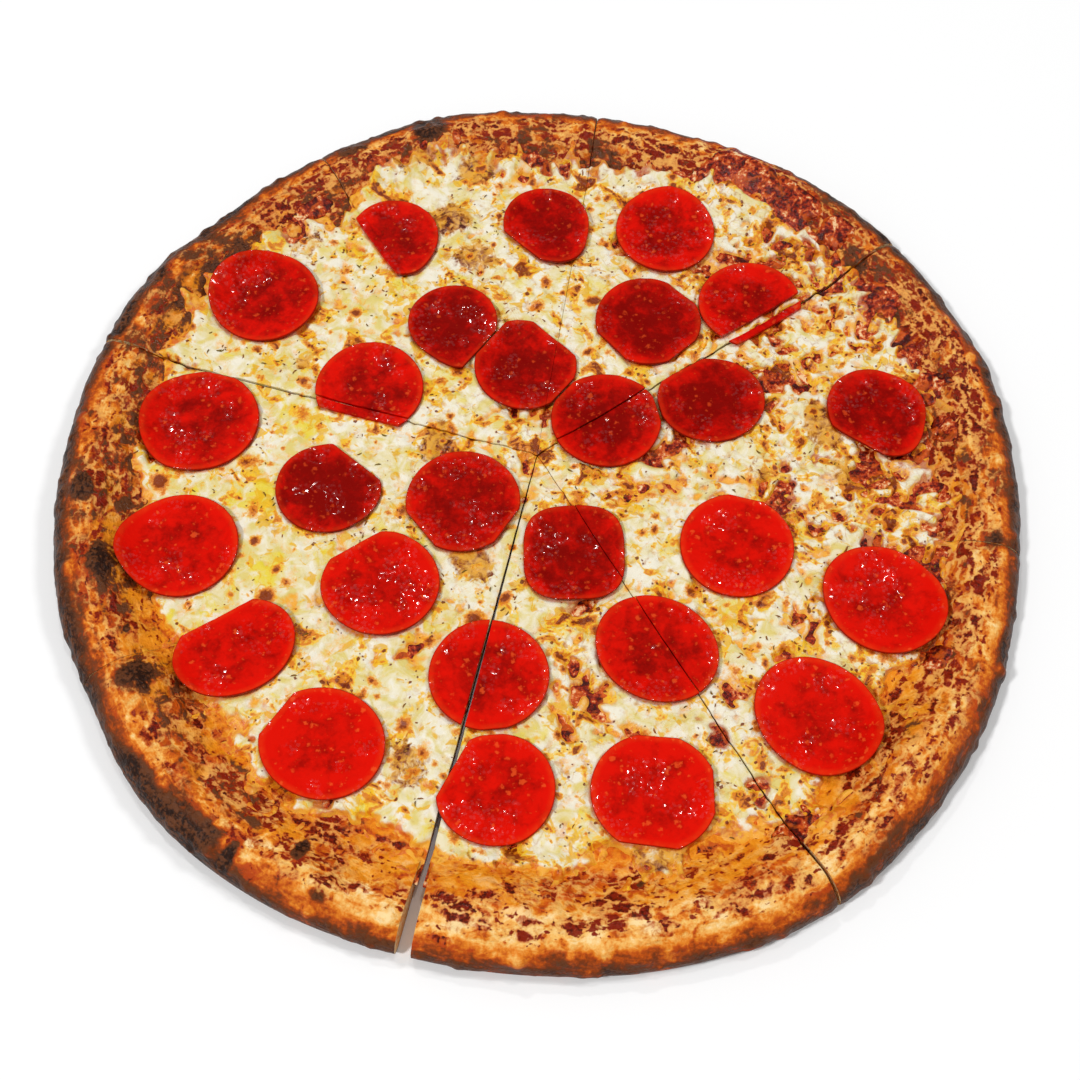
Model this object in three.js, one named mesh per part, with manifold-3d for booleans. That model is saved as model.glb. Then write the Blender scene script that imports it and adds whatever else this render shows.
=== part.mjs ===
// A pepperoni pizza, baked and cut into eight slices that still lie together.
// Millimetres, +Z up. The base rests on z = 0, the origin is under the middle of the whole
// pizza, and -Y is the near side. Each slice is a wedge of dough with a raised rim, a layer of
// sauce and a layer of cheese; the pepperoni lies on the cheese, cut where a cut crosses it.
import * as THREE from 'three';
import { mergeVertices } from 'three/addons/utils/BufferGeometryUtils.js';
import Module from 'manifold-3d';

const wasm = await Module();
wasm.setup();

// ---- Outline -------------------------------------------------------------------------------
// Outer radius at every fifteenth degree, anticlockwise from +X: a hand-stretched round.
const RIM_RADII = [
  198, 201, 201, 201.5, 199, 197.5, 198.5, 202, 200.5, 199, 202.5, 199.5,
  198, 198.5, 197.5, 200.5, 199.5, 197.5, 198.5, 202, 205, 203, 200.5, 197.5,
];

// ---- Rim and dough -------------------------------------------------------------------------
const LIP_HEIGHT = 5;        // where the rim's outside is widest
const LIP_UNDERCUT = 4;      // how far the base is set in from the widest line
const RIDGE_INSET = 11;      // top of the rim, in from the outer edge
const RIDGE_HEIGHT = 15.5;
const FOOT_INSET = 42;       // where the rim's inner slope reaches the flat of the dough
const DOUGH_WAVE = 0.35;     // gentle unevenness of the flat

// ---- Toppings ------------------------------------------------------------------------------
const LAYER_GAP = 0.25;      // clearance between a layer and what it lies on
const SAUCE = { thick: 0.8, edgeThick: 0.4 };
const CHEESE = { thick: 2, edgeThick: 0.5 };
const SAUCE_BAND = 7;        // sauce seen between the cheese's edge and the bare rim
const CHEESE_INSET = { mean: 31, swing: 8, ripple: 2.5 };
const PEPPERONI = { thick: 1.7, cup: 1, gap: 0.35, facets: 16, rings: [0.55, 1] };
const EDGE_CLEAR = 0.5;      // where a cut piece's height is taken, in from its slice's side

// ---- Cuts ----------------------------------------------------------------------------------
// Each cut runs out from the cutting point. gap is its width at the point and at the rim.
const CUT_POINT = { x: -0.4, y: 13.6 };
const CUT_REACH = 200;
const CUTS = {
  right: { degrees: 346.1, gap: [0.6, 1.2] },
  upperRight: { degrees: 33.8, gap: [0.7, 2.2] },
  top: { degrees: 81.0, gap: [0.6, 1.4] },
  upperLeft: { degrees: 122.6, gap: [0.6, 1.6] },
  left: { degrees: 163.7, gap: [0.6, 2.2] },
  lowerLeft: { degrees: 210.7, gap: [0.6, 1.0] },
  near: { degrees: 256.9, gap: [0.9, 6.0] },
  lowerRight: { degrees: 300.2, gap: [0.6, 2.0] },
};
// Slices, anticlockwise from the right-hand cut: the cut on each side and the dough's thickness.
const SLICES = [
  { from: 'right', to: 'upperRight', dough: 4.3 },
  { from: 'upperRight', to: 'top', dough: 5.1 },
  { from: 'top', to: 'upperLeft', dough: 4.9 },
  { from: 'upperLeft', to: 'left', dough: 5.2 },
  { from: 'left', to: 'lowerLeft', dough: 4.5 },
  { from: 'lowerLeft', to: 'near', dough: 4.8 },
  { from: 'near', to: 'lowerRight', dough: 4.6 },
  { from: 'lowerRight', to: 'right', dough: 4.9 },
];

// ---- Bubbles -------------------------------------------------------------------------------
// Blown-up places in the crust: centre, half length round the rim, half width, height.
const BUBBLES = [
  { x: -14, y: -171, along: 36, across: 19, high: 6 },
  { x: 142, y: -114, along: 22, across: 20, high: 5.5 },
  { x: -151, y: -92, along: 19, across: 16, high: 5 },
  { x: -173, y: -42, along: 15, across: 11, high: 3.5 },
  { x: -182, y: -9, along: 15, across: 10, high: 3.5 },
  { x: 62, y: -170, along: 34, across: 15, high: 3 },
  { x: -80, y: -168, along: 22, across: 13, high: 3 },
  { x: 178, y: 66, along: 20, across: 11, high: 2.5 },
  { x: -50, y: 178, along: 17, across: 11, high: 3 },
  { x: 100, y: 160, along: 26, across: 12, high: 2.5 },
  { x: -160, y: 100, along: 26, across: 12, high: 3 },
  { x: -39, y: 136, along: 11, across: 11, high: 2.5 },
  { x: 118, y: 31, along: 14, across: 12, high: 2.2 },
];

// ---- Pepperoni -----------------------------------------------------------------------------
// Centre, half length and half width and how far the long way is turned. A corner is drawn out
// by a share of the radius, a flat is pressed in to a distance, both towards an angle; square
// swells all four diagonals. crosses names the cut through it; sliver is all that shows beyond
// that cut, and trim is how far short of the cut the main piece stops.
const PEPPERONIS = [
  { x: -65, y: 126, long: 20, wide: 20, corner: [[-65, 0.13]], crosses: 'upperLeft', sliver: 3.5 },
  { x: 3.5, y: 133, long: 20.3, wide: 19.3, turn: 90, corner: [[-57, 0.2]], flat: [[-135, 16.5]] },
  { x: 57.3, y: 129.3, long: 23.3, wide: 22.2, turn: 90 },
  { x: 93, y: 88.5, long: 22.6, wide: 22.3, crosses: 'upperRight', sliver: 3, trim: 3 },
  { x: 48, y: 79.4, long: 23, wide: 22.6, flat: [[45, 21.3], [-140, 20.8], [-50, 21.4]] },
  { x: -120.4, y: 92.1, long: 24, wide: 23, turn: -15 },
  { x: -37.3, y: 79.4, long: 19.5, wide: 19.5, corner: [[-76, 0.27]], flat: [[-36, 18.2]] },
  { x: -5.4, y: 56.5, long: 22, wide: 22, corner: [[108, 0.1]],
    flat: [[45, 18.5], [144, 20.3], [-39, 20.5]], crosses: 'top' },
  { x: 28.6, y: 29.1, long: 23.2, wide: 22.6, flat: [[141, 22.2], [13, 22.2]], crosses: 'upperRight' },
  { x: 73.4, y: 39.5, long: 22.8, wide: 20.8, flat: [[123.8, 18.7], [193, 22.4]] },
  { x: -71.8, y: 44.5, long: 23, wide: 22.6, corner: [[105, 0.04]], crosses: 'left', sliver: 4 },
  { x: -142.4, y: 29.2, long: 24.8, wide: 24.3, corner: [[235, 0.04]], flat: [[73.7, 23.6]] },
  { x: 142.5, y: 34, long: 20.6, wide: 20.6, corner: [[-60, 0.18]], flat: [[-125, 17.5]] },
  { x: -86.8, y: -3.3, long: 21.2, wide: 20.8, corner: [[-8, 0.06]], flat: [[50, 16.8]] },
  { x: -30.7, y: -9.7, long: 23.5, wide: 23.3, flat: [[-33, 21.6], [218, 21.3]],
    crosses: 'lowerLeft' },
  { x: 14.5, y: -33.5, long: 22.2, wide: 21.6, turn: 90, square: 0.06, crosses: 'lowerRight' },
  { x: 80.2, y: -29.9, long: 23.3, wide: 23, turn: 90, flat: [[76.1, 22.2]] },
  { x: 136.5, y: -54.2, long: 25, wide: 22.2, turn: -38 },
  { x: -144.3, y: -29.9, long: 23.6, wide: 22.9, corner: [[180, 0.06]] },
  { x: -62.4, y: -47.2, long: 23.4, wide: 22.7, corner: [[180, 0.03]], flat: [[120.7, 20]] },
  { x: -117.9, y: -74.8, long: 24.3, wide: 19.6, turn: 28, flat: [[120.7, 15.1]] },
  { x: -81.5, y: -113.4, long: 24.3, wide: 22, turn: -20, flat: [[145, 21.3]] },
  { x: -18.9, y: -86.1, long: 23.4, wide: 22.8, flat: [[-85, 22.3]], crosses: 'near' },
  { x: 46.3, y: -75, long: 24.8, wide: 21.6, turn: -32, crosses: 'lowerRight' },
  { x: 106.3, y: -102.8, long: 25.3, wide: 22.5, turn: -46 },
  { x: -15.4, y: -131.5, long: 22, wide: 21.8, corner: [[201, 0.04]], flat: [[152, 18.4], [95, 21.5]] },
  { x: 43.2, y: -132.7, long: 23.8, wide: 23, flat: [[0, 22.3], [-97, 20.5], [85, 21.8]] },
];

// ---- Mesh density --------------------------------------------------------------------------
const RIM_COLUMNS = 12;
const INNER_ROWS = [             // share of the way in from the rim's foot, and columns there
  { share: 0.28, columns: 8 },
  { share: 0.6, columns: 5 },
  { share: 0.85, columns: 2 },
];

const MATERIALS = {
  dough: new THREE.MeshStandardMaterial({ color: 0xcf9546, roughness: 0.75, metalness: 0 }),
  sauce: new THREE.MeshStandardMaterial({ color: 0x9a2f14, roughness: 0.45, metalness: 0 }),
  cheese: new THREE.MeshStandardMaterial({ color: 0xf0e3ac, roughness: 0.4, metalness: 0 }),
  pepperoni: new THREE.MeshStandardMaterial({ color: 0xb81208, roughness: 0.3, metalness: 0 }),
};

const radians = THREE.MathUtils.degToRad;
const clamp = THREE.MathUtils.clamp;
const lerp = THREE.MathUtils.lerp;

// Outer radius towards an angle about the origin, smooth through RIM_RADII.
function outlineRadius(angle) {
  const count = RIM_RADII.length;
  const place = THREE.MathUtils.euclideanModulo(angle / (2 * Math.PI), 1) * count;
  const index = Math.floor(place);
  const t = place - index;
  const [a, b, c, d] = [-1, 0, 1, 2].map((step) => RIM_RADII[(index + step + count) % count]);
  const tangentIn = (c - a) / 2;
  const tangentOut = (d - b) / 2;
  return b + t * (tangentIn + t * (3 * (c - b) - 2 * tangentIn - tangentOut
    + t * (tangentIn + tangentOut - 2 * (c - b))));
}

function insetAt(x, y) {
  return outlineRadius(Math.atan2(y, x)) - Math.hypot(x, y);
}

function ridgeHeight(angle) {
  return RIDGE_HEIGHT + 1.1 * Math.sin(3 * angle + 4.0) + 0.7 * Math.sin(8 * angle + 1.3);
}

// Where the cheese stops: wide bare crust on the near side, narrow on the far side.
function cheeseInset(angle) {
  return CHEESE_INSET.mean - CHEESE_INSET.swing * Math.sin(angle + 0.15)
    + CHEESE_INSET.ripple * Math.sin(9 * angle + 0.8);
}

function bubbleRise(x, y) {
  const angle = Math.atan2(y, x);
  let rise = 0;
  for (const bubble of BUBBLES) {
    const dx = x - bubble.x;
    const dy = y - bubble.y;
    const outward = (dx * Math.cos(angle) + dy * Math.sin(angle)) / bubble.across;
    const round = (-dx * Math.sin(angle) + dy * Math.cos(angle)) / bubble.along;
    const fall = 1 - outward * outward - round * round;
    if (fall > 0) rise = Math.max(rise, bubble.high * fall * Math.sqrt(fall));
  }
  return rise;
}

// Top of the dough: up the round outside, over the ridge and down the slope to the flat.
function doughTop(x, y, floor) {
  const angle = Math.atan2(y, x);
  const inset = insetAt(x, y);
  const ridge = ridgeHeight(angle);
  if (inset < RIDGE_INSET) {
    const rest = 1 - clamp(inset / RIDGE_INSET, 0, 1);
    const climb = Math.sqrt(1 - rest * rest);
    return lerp(LIP_HEIGHT, ridge, climb) + bubbleRise(x, y) * climb;
  }
  const down = clamp((inset - RIDGE_INSET) / (FOOT_INSET - RIDGE_INSET), 0, 1);
  const slope = 0.5 + 0.5 * Math.cos(Math.PI * down);
  const wave = DOUGH_WAVE * Math.sin(x / 23 + 1) * Math.sin(y / 19 + 2) * down;
  return lerp(floor, ridge, slope) + wave + bubbleRise(x, y);
}

function doughBase(x, y) {
  const rest = 1 - clamp(insetAt(x, y) / LIP_UNDERCUT, 0, 1);
  return LIP_HEIGHT * (1 - Math.sqrt(1 - rest * rest));
}

// ---- Slices --------------------------------------------------------------------------------
// The straight side of a slice: a line beside its cut, opening out with the cut's gap.
function sliceSide(cut, side) {
  const angle = radians(cut.degrees);
  const opening = side * Math.atan((cut.gap[1] - cut.gap[0]) / 2 / CUT_REACH);
  const offset = side * cut.gap[0] / 2;
  return {
    point: new THREE.Vector2(
      CUT_POINT.x - Math.sin(angle) * offset, CUT_POINT.y + Math.cos(angle) * offset),
    angle: angle + opening,
  };
}

// The slice's tip is where its two sides meet; its columns fan out from there.
function sliceFan(slice) {
  const first = sliceSide(CUTS[slice.from], 1);
  const last = sliceSide(CUTS[slice.to], -1);
  const turn = THREE.MathUtils.euclideanModulo(last.angle - first.angle, 2 * Math.PI);
  const between = last.point.clone().sub(first.point);
  const run = (between.x * Math.sin(last.angle) - between.y * Math.cos(last.angle)) / Math.sin(turn);
  const tip = new THREE.Vector2(
    first.point.x + run * Math.cos(first.angle), first.point.y + run * Math.sin(first.angle));
  return { tip, start: first.angle, turn };
}

// Distance from a slice's tip to the outline, in one direction.
function reachFrom(tip, direction) {
  const ux = Math.cos(direction);
  const uy = Math.sin(direction);
  const along = tip.x * ux + tip.y * uy;
  let reach = outlineRadius(direction);
  for (let pass = 0; pass < 6; pass += 1) {
    const radius = outlineRadius(Math.atan2(tip.y + reach * uy, tip.x + reach * ux));
    reach = -along + Math.sqrt(along * along - tip.lengthSq() + radius * radius);
  }
  return reach;
}

// Rows of plan points from the outer edge to the tip. Every layer of a slice shares them, so
// that a layer's facets lie parallel to those of the layer below.
function sliceRows(slice) {
  const { tip, start, turn } = sliceFan(slice);
  const pointAt = (direction, distance) => ({
    x: tip.x + distance * Math.cos(direction), y: tip.y + distance * Math.sin(direction) });
  const insets = [
    () => 0,
    () => 1.2,
    () => 3.6,
    () => 7,
    () => RIDGE_INSET,
    () => RIDGE_INSET + 6,
    (angle) => cheeseInset(angle) - SAUCE_BAND,
    (angle) => cheeseInset(angle),
    () => FOOT_INSET + 2,
  ];
  const rows = insets.map((inset) => {
    const row = [];
    for (let column = 0; column <= RIM_COLUMNS; column += 1) {
      const direction = start + (turn * column) / RIM_COLUMNS;
      const reach = reachFrom(tip, direction);
      const edge = pointAt(direction, reach);
      row.push(pointAt(direction, reach - inset(Math.atan2(edge.y, edge.x))));
    }
    return row;
  });
  for (const { share, columns } of INNER_ROWS) {
    const row = [];
    for (let column = 0; column <= columns; column += 1) {
      const direction = start + (turn * column) / columns;
      row.push(pointAt(direction, (reachFrom(tip, direction) - FOOT_INSET) * (1 - share)));
    }
    rows.push(row);
  }
  rows.push([{ x: tip.x, y: tip.y }]);
  return rows;
}

const SAUCE_ROW = 6;
const CHEESE_ROW = 7;

// Closed geometry between two height functions over rows of plan points.
function layerGeometry(rows, lower, upper) {
  const positions = [];
  const tops = rows.map((row, depth) => row.map((p) => [p.x, p.y, upper(p, depth)]));
  const bases = rows.map((row, depth) => row.map((p) => [p.x, p.y, lower(p, depth)]));
  const triangle = (a, b, c) => positions.push(...a, ...b, ...c);
  const quad = (a, b, c, d) => {
    triangle(a, b, c);
    triangle(a, c, d);
  };
  const strip = (outer, inner, emit) => {
    let i = 0;
    let j = 0;
    while (i < outer.length - 1 || j < inner.length - 1) {
      const nextOuter = (i + 1) / (outer.length - 1);
      const nextInner = inner.length > 1 ? (j + 1) / (inner.length - 1) : Infinity;
      if (nextOuter <= nextInner) {
        emit(outer[i], outer[i + 1], inner[j]);
        i += 1;
      } else {
        emit(inner[j + 1], inner[j], outer[i]);
        j += 1;
      }
    }
  };
  for (let depth = 0; depth < rows.length - 1; depth += 1) {
    strip(tops[depth], tops[depth + 1], triangle);
    strip(bases[depth], bases[depth + 1], (a, b, c) => triangle(c, b, a));
    quad(bases[depth][0], tops[depth][0], tops[depth + 1][0], bases[depth + 1][0]);
    quad(bases[depth + 1].at(-1), tops[depth + 1].at(-1), tops[depth].at(-1), bases[depth].at(-1));
  }
  for (let column = 0; column < rows[0].length - 1; column += 1) {
    quad(bases[0][column], bases[0][column + 1], tops[0][column + 1], tops[0][column]);
  }
  return closedGeometry(positions);
}

// Shared vertices merged and triangles without area left out.
function closedGeometry(positions) {
  const loose = new THREE.BufferGeometry();
  loose.setAttribute('position', new THREE.Float32BufferAttribute(positions, 3));
  const merged = mergeVertices(loose, 1e-4);
  const kept = [];
  const index = merged.getIndex().array;
  for (let corner = 0; corner < index.length; corner += 3) {
    const [a, b, c] = index.slice(corner, corner + 3);
    if (a !== b && b !== c && c !== a) kept.push(a, b, c);
  }
  merged.setIndex(kept);
  return merged;
}

function namedMesh(name, geometry, material) {
  const mesh = new THREE.Mesh(geometry, material);
  mesh.name = name;
  return mesh;
}

function sliceMeshes(slice, number) {
  const rows = sliceRows(slice);
  const dough = (p) => doughTop(p.x, p.y, slice.dough);
  const sauceThick = (depth) => (depth === 0 ? SAUCE.edgeThick : SAUCE.thick);
  const sauceBase = (p) => dough(p) + LAYER_GAP;
  const cheeseBase = (p) => sauceBase(p) + SAUCE.thick + LAYER_GAP;
  return [
    namedMesh(`dough_${number}`, layerGeometry(rows, (p) => doughBase(p.x, p.y), dough),
      MATERIALS.dough),
    namedMesh(`sauce_${number}`, layerGeometry(rows.slice(SAUCE_ROW), sauceBase,
      (p, depth) => sauceBase(p) + sauceThick(depth)), MATERIALS.sauce),
    namedMesh(`cheese_${number}`, layerGeometry(rows.slice(CHEESE_ROW), cheeseBase,
      (p, depth) => cheeseBase(p) + (depth === 0 ? CHEESE.edgeThick : CHEESE.thick)),
      MATERIALS.cheese),
  ];
}

// ---- Pepperoni -----------------------------------------------------------------------------
const angleBetween = (a, b) => Math.atan2(Math.sin(a - b), Math.cos(a - b));

function pepperoniRadius(spec, angle) {
  const fromLong = angle - radians(spec.turn ?? 0);
  let radius = 1 / Math.hypot(Math.cos(fromLong) / spec.long, Math.sin(fromLong) / spec.wide);
  radius *= 1 - (spec.square ?? 0) * Math.cos(4 * angle);
  for (const [towards, by] of spec.corner ?? []) {
    const away = angleBetween(angle, radians(towards)) / 0.5;
    radius *= 1 + by * Math.exp(-away * away);
  }
  for (const [towards, distance] of spec.flat ?? []) {
    const facing = Math.cos(angleBetween(angle, radians(towards)));
    if (facing > 0.3) radius = Math.min(radius, distance / facing);
  }
  return radius;
}

// Height of the highest layer about a plan point, so that a disc clears the facets it bridges.
// onto moves each looked-at point to the side of a cut that the piece lies on.
const down = new THREE.Vector3(0, 0, -1);
function restingHeight(layers, x, y, onto) {
  let height = 0;
  for (const [dx, dy] of [[0, 0], [3, 0], [-3, 0], [0, 3], [0, -3]]) {
    const spot = onto(x + dx, y + dy);
    const ray = new THREE.Raycaster(new THREE.Vector3(spot.x, spot.y, 100), down);
    for (const hit of ray.intersectObjects(layers, false)) height = Math.max(height, hit.point.z);
  }
  return height;
}

// A thin disc lying on the layers, its edge curled up a little by the heat.
function pepperoniGeometry(spec, layers, onto) {
  const { facets, rings, thick, cup, gap } = PEPPERONI;
  const vertex = (share, facet) => {
    const angle = (2 * Math.PI * facet) / facets;
    const radius = share * pepperoniRadius(spec, angle);
    const x = spec.x + radius * Math.cos(angle);
    const y = spec.y + radius * Math.sin(angle);
    const base = restingHeight(layers, x, y, onto) + gap;
    return { base: [x, y, base + cup * share ** 4], top: [x, y, base + thick + cup * share * share] };
  };
  const middle = vertex(0, 0);
  const loops = rings.map((share) =>
    Array.from({ length: facets }, (_, facet) => vertex(share, facet)));
  const positions = [];
  const triangle = (a, b, c) => positions.push(...a, ...b, ...c);
  for (let facet = 0; facet < facets; facet += 1) {
    const next = (facet + 1) % facets;
    const [inner, outer] = loops;
    triangle(middle.top, inner[facet].top, inner[next].top);
    triangle(middle.base, inner[next].base, inner[facet].base);
    triangle(inner[facet].top, outer[facet].top, outer[next].top);
    triangle(inner[facet].top, outer[next].top, inner[next].top);
    triangle(inner[facet].base, outer[next].base, outer[facet].base);
    triangle(inner[facet].base, inner[next].base, outer[next].base);
    triangle(outer[facet].base, outer[next].base, outer[next].top);
    triangle(outer[facet].base, outer[next].top, outer[facet].top);
  }
  return closedGeometry(positions);
}

function toSolid(geometry) {
  const bare = geometry.clone();
  bare.deleteAttribute('normal');
  bare.deleteAttribute('uv');
  const merged = mergeVertices(bare, 1e-4);
  return new wasm.Manifold(new wasm.Mesh({
    numProp: 3,
    vertProperties: new Float32Array(merged.getAttribute('position').array),
    triVerts: new Uint32Array(merged.getIndex().array),
  }));
}

function fromSolid(solid) {
  const mesh = solid.getMesh();
  const geometry = new THREE.BufferGeometry();
  geometry.setAttribute('position', new THREE.BufferAttribute(mesh.vertProperties, 3));
  geometry.setIndex(new THREE.BufferAttribute(mesh.triVerts, 1));
  return geometry;
}

// The space beside a cut: from beyond its gap to a depth, on one side of it.
function besideCut(cut, side, clear, depth) {
  const line = sliceSide(cut, side);
  const block = new THREE.BoxGeometry(2 * CUT_REACH, depth, 120);
  block.translate(CUT_REACH, side * (clear + depth / 2), 0);
  block.rotateZ(line.angle);
  block.translate(line.point.x, line.point.y, 0);
  return toSolid(block);
}

// How far a plan point lies to the left of a side's line, looking out from the cutting point.
function leftOf(line, x, y) {
  return (y - line.point.y) * Math.cos(line.angle) - (x - line.point.x) * Math.sin(line.angle);
}

// The point itself, or the nearest one that is on a side of a cut, a little clear of its edge.
function ontoSide(cut, side) {
  const line = sliceSide(cut, side);
  return (x, y) => {
    const short = Math.max(EDGE_CLEAR - side * leftOf(line, x, y), 0) * side;
    return { x: x - short * Math.sin(line.angle), y: y + short * Math.cos(line.angle) };
  };
}

function pepperoniMeshes(spec, index, layers) {
  const name = `pepperoni_${String(index + 1).padStart(2, '0')}`;
  if (!spec.crosses) {
    const whole = pepperoniGeometry(spec, layers, (x, y) => ({ x, y }));
    return [namedMesh(name, whole, MATERIALS.pepperoni)];
  }
  const cut = CUTS[spec.crosses];
  const mainSide = Math.sign(leftOf(sliceSide(cut, 0), spec.x, spec.y));
  const piece = (side, clear, depth) => toSolid(pepperoniGeometry(spec, layers, ontoSide(cut, side)))
    .intersect(besideCut(cut, side, clear, depth));
  const main = piece(mainSide, spec.trim ?? 0, CUT_REACH);
  const rest = piece(-mainSide, 0, spec.sliver ?? CUT_REACH);
  return [
    namedMesh(`${name}_a`, fromSolid(main), MATERIALS.pepperoni),
    namedMesh(`${name}_b`, fromSolid(rest), MATERIALS.pepperoni),
  ];
}

// ---- The pizza -----------------------------------------------------------------------------
const pizza = new THREE.Group();
SLICES.forEach((slice, index) => pizza.add(...sliceMeshes(slice, index + 1)));
pizza.updateMatrixWorld(true);
const layers = [...pizza.children];
PEPPERONIS.forEach((spec, index) => pizza.add(...pepperoniMeshes(spec, index, layers)));

export default pizza;
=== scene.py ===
"""The looks of a pepperoni pizza, baked and cut into eight slices that still lie together.

Laid out as an add-on and run as a script. Plan sizes are in millimetres, in the frame of the
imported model: +Z up, the origin under the middle and the near side towards -Y. Blender's own
objects are in metres.
"""

import functools
import math

import bmesh
import bpy
import numpy as np
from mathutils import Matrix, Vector


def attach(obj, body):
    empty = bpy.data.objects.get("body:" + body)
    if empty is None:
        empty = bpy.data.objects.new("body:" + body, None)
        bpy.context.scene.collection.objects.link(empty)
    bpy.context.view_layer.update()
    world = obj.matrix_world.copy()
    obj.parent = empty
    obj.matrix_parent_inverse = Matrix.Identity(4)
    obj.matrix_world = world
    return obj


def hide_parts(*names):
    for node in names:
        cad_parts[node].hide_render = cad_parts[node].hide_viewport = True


bl_info = {
    "name": "Pepperoni pizza",
    "version": (1, 0, 0),
    "blender": (4, 5, 0),
    "location": "3D View > Sidebar > Pizza",
    "description": "Bakes the crust, sauce, cheese and pepperoni of a cut pizza",
    "category": "Object",
}

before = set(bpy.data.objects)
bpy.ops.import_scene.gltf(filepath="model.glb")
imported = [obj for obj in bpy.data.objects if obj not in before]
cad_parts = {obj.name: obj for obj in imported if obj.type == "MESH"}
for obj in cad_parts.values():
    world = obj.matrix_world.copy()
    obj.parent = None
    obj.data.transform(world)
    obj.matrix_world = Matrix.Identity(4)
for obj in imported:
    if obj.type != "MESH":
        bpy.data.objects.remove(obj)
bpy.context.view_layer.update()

MM = 0.001
TURN = 2 * math.pi
BODY = "root"

# ---- Outline, rim and layers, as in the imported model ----
RIM_RADII = np.array([
    198, 201, 201, 201.5, 199, 197.5, 198.5, 202, 200.5, 199, 202.5, 199.5,
    198, 198.5, 197.5, 200.5, 199.5, 197.5, 198.5, 202, 205, 203, 200.5, 197.5,
])
LIP_HEIGHT = 5
LIP_UNDERCUT = 4
RIDGE_INSET = 11
RIDGE_HEIGHT = 15.5
FOOT_INSET = 42
FLAT_INSET = FOOT_INSET + 4     # from here in, the rows of a slice close in on its tip
DOUGH_WAVE = 0.35
LEAST_HEIGHT = 0.3      # up to here the dough's underside counts as lying on the floor
SKIN_RADIUS = 185       # where the crust's pattern goes round the pizza at its true size
SKIN_STRETCH = 1.15     # how much finer the pattern is made across the rim
SAUCE_LEVEL = 0.9       # mean top of the sauce above the dough
# Where the layers go on inside the dough: past the cheese's edge, and below the dough's top.
SAUCE_HIDDEN = {"reach": 14, "depth": 3.4}
CHEESE_HIDDEN = {"reach": 12, "depth": 3.0}
HIDDEN_CELL = 6
CHEESE_INSET = {"mean": 31, "swing": 8, "ripple": 2.5}
PEPPERONI_THICK = 1.7
PEPPERONI_LEVEL = 2.5   # underside of the pepperoni above the dough

CUT_POINT = np.array([-0.4, 13.6])
CUT_REACH = 200
CUTS = {
    "right": (346.1, 0.6, 1.2),
    "upper_right": (33.8, 0.7, 2.2),
    "top": (81.0, 0.6, 1.4),
    "upper_left": (122.6, 0.6, 1.6),
    "left": (163.7, 0.6, 2.2),
    "lower_left": (210.7, 0.6, 1.0),
    "near": (256.9, 0.9, 6.0),
    "lower_right": (300.2, 0.6, 2.0),
}
# How far the melted toppings, and the crust, have closed over each cut, as shares of its gap.
TOPPINGS, CRUST = 0, 1
CLOSED = {
    "right": (0.9, 0.6), "upper_right": (0.55, 0.3), "top": (0.8, 0.5), "upper_left": (0.88, 0.6),
    "left": (0.55, 0.35), "lower_left": (0.92, 0.7), "near": (0.6, 0.03),
    "lower_right": (0.65, 0.3),
}
SLICES = [
    ("right", "upper_right", 4.3),
    ("upper_right", "top", 5.1),
    ("top", "upper_left", 4.9),
    ("upper_left", "left", 5.2),
    ("left", "lower_left", 4.5),
    ("lower_left", "near", 4.8),
    ("near", "lower_right", 4.6),
    ("lower_right", "right", 4.9),
]

# Blown-up places in the crust: centre, half length round the rim, half width, height.
BUBBLES = [
    (-14, -171, 36, 19, 6), (142, -114, 22, 20, 5.5), (-151, -92, 19, 16, 5),
    (-173, -42, 15, 11, 3.5), (-182, -9, 15, 10, 3.5), (62, -170, 34, 15, 3),
    (-80, -168, 22, 13, 3), (178, 66, 20, 11, 2.5), (-50, 178, 17, 11, 3),
    (100, 160, 26, 12, 2.5), (-160, 100, 26, 12, 3), (-39, 136, 11, 11, 2.5),
    (118, 31, 14, 12, 2.2),
]

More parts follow.
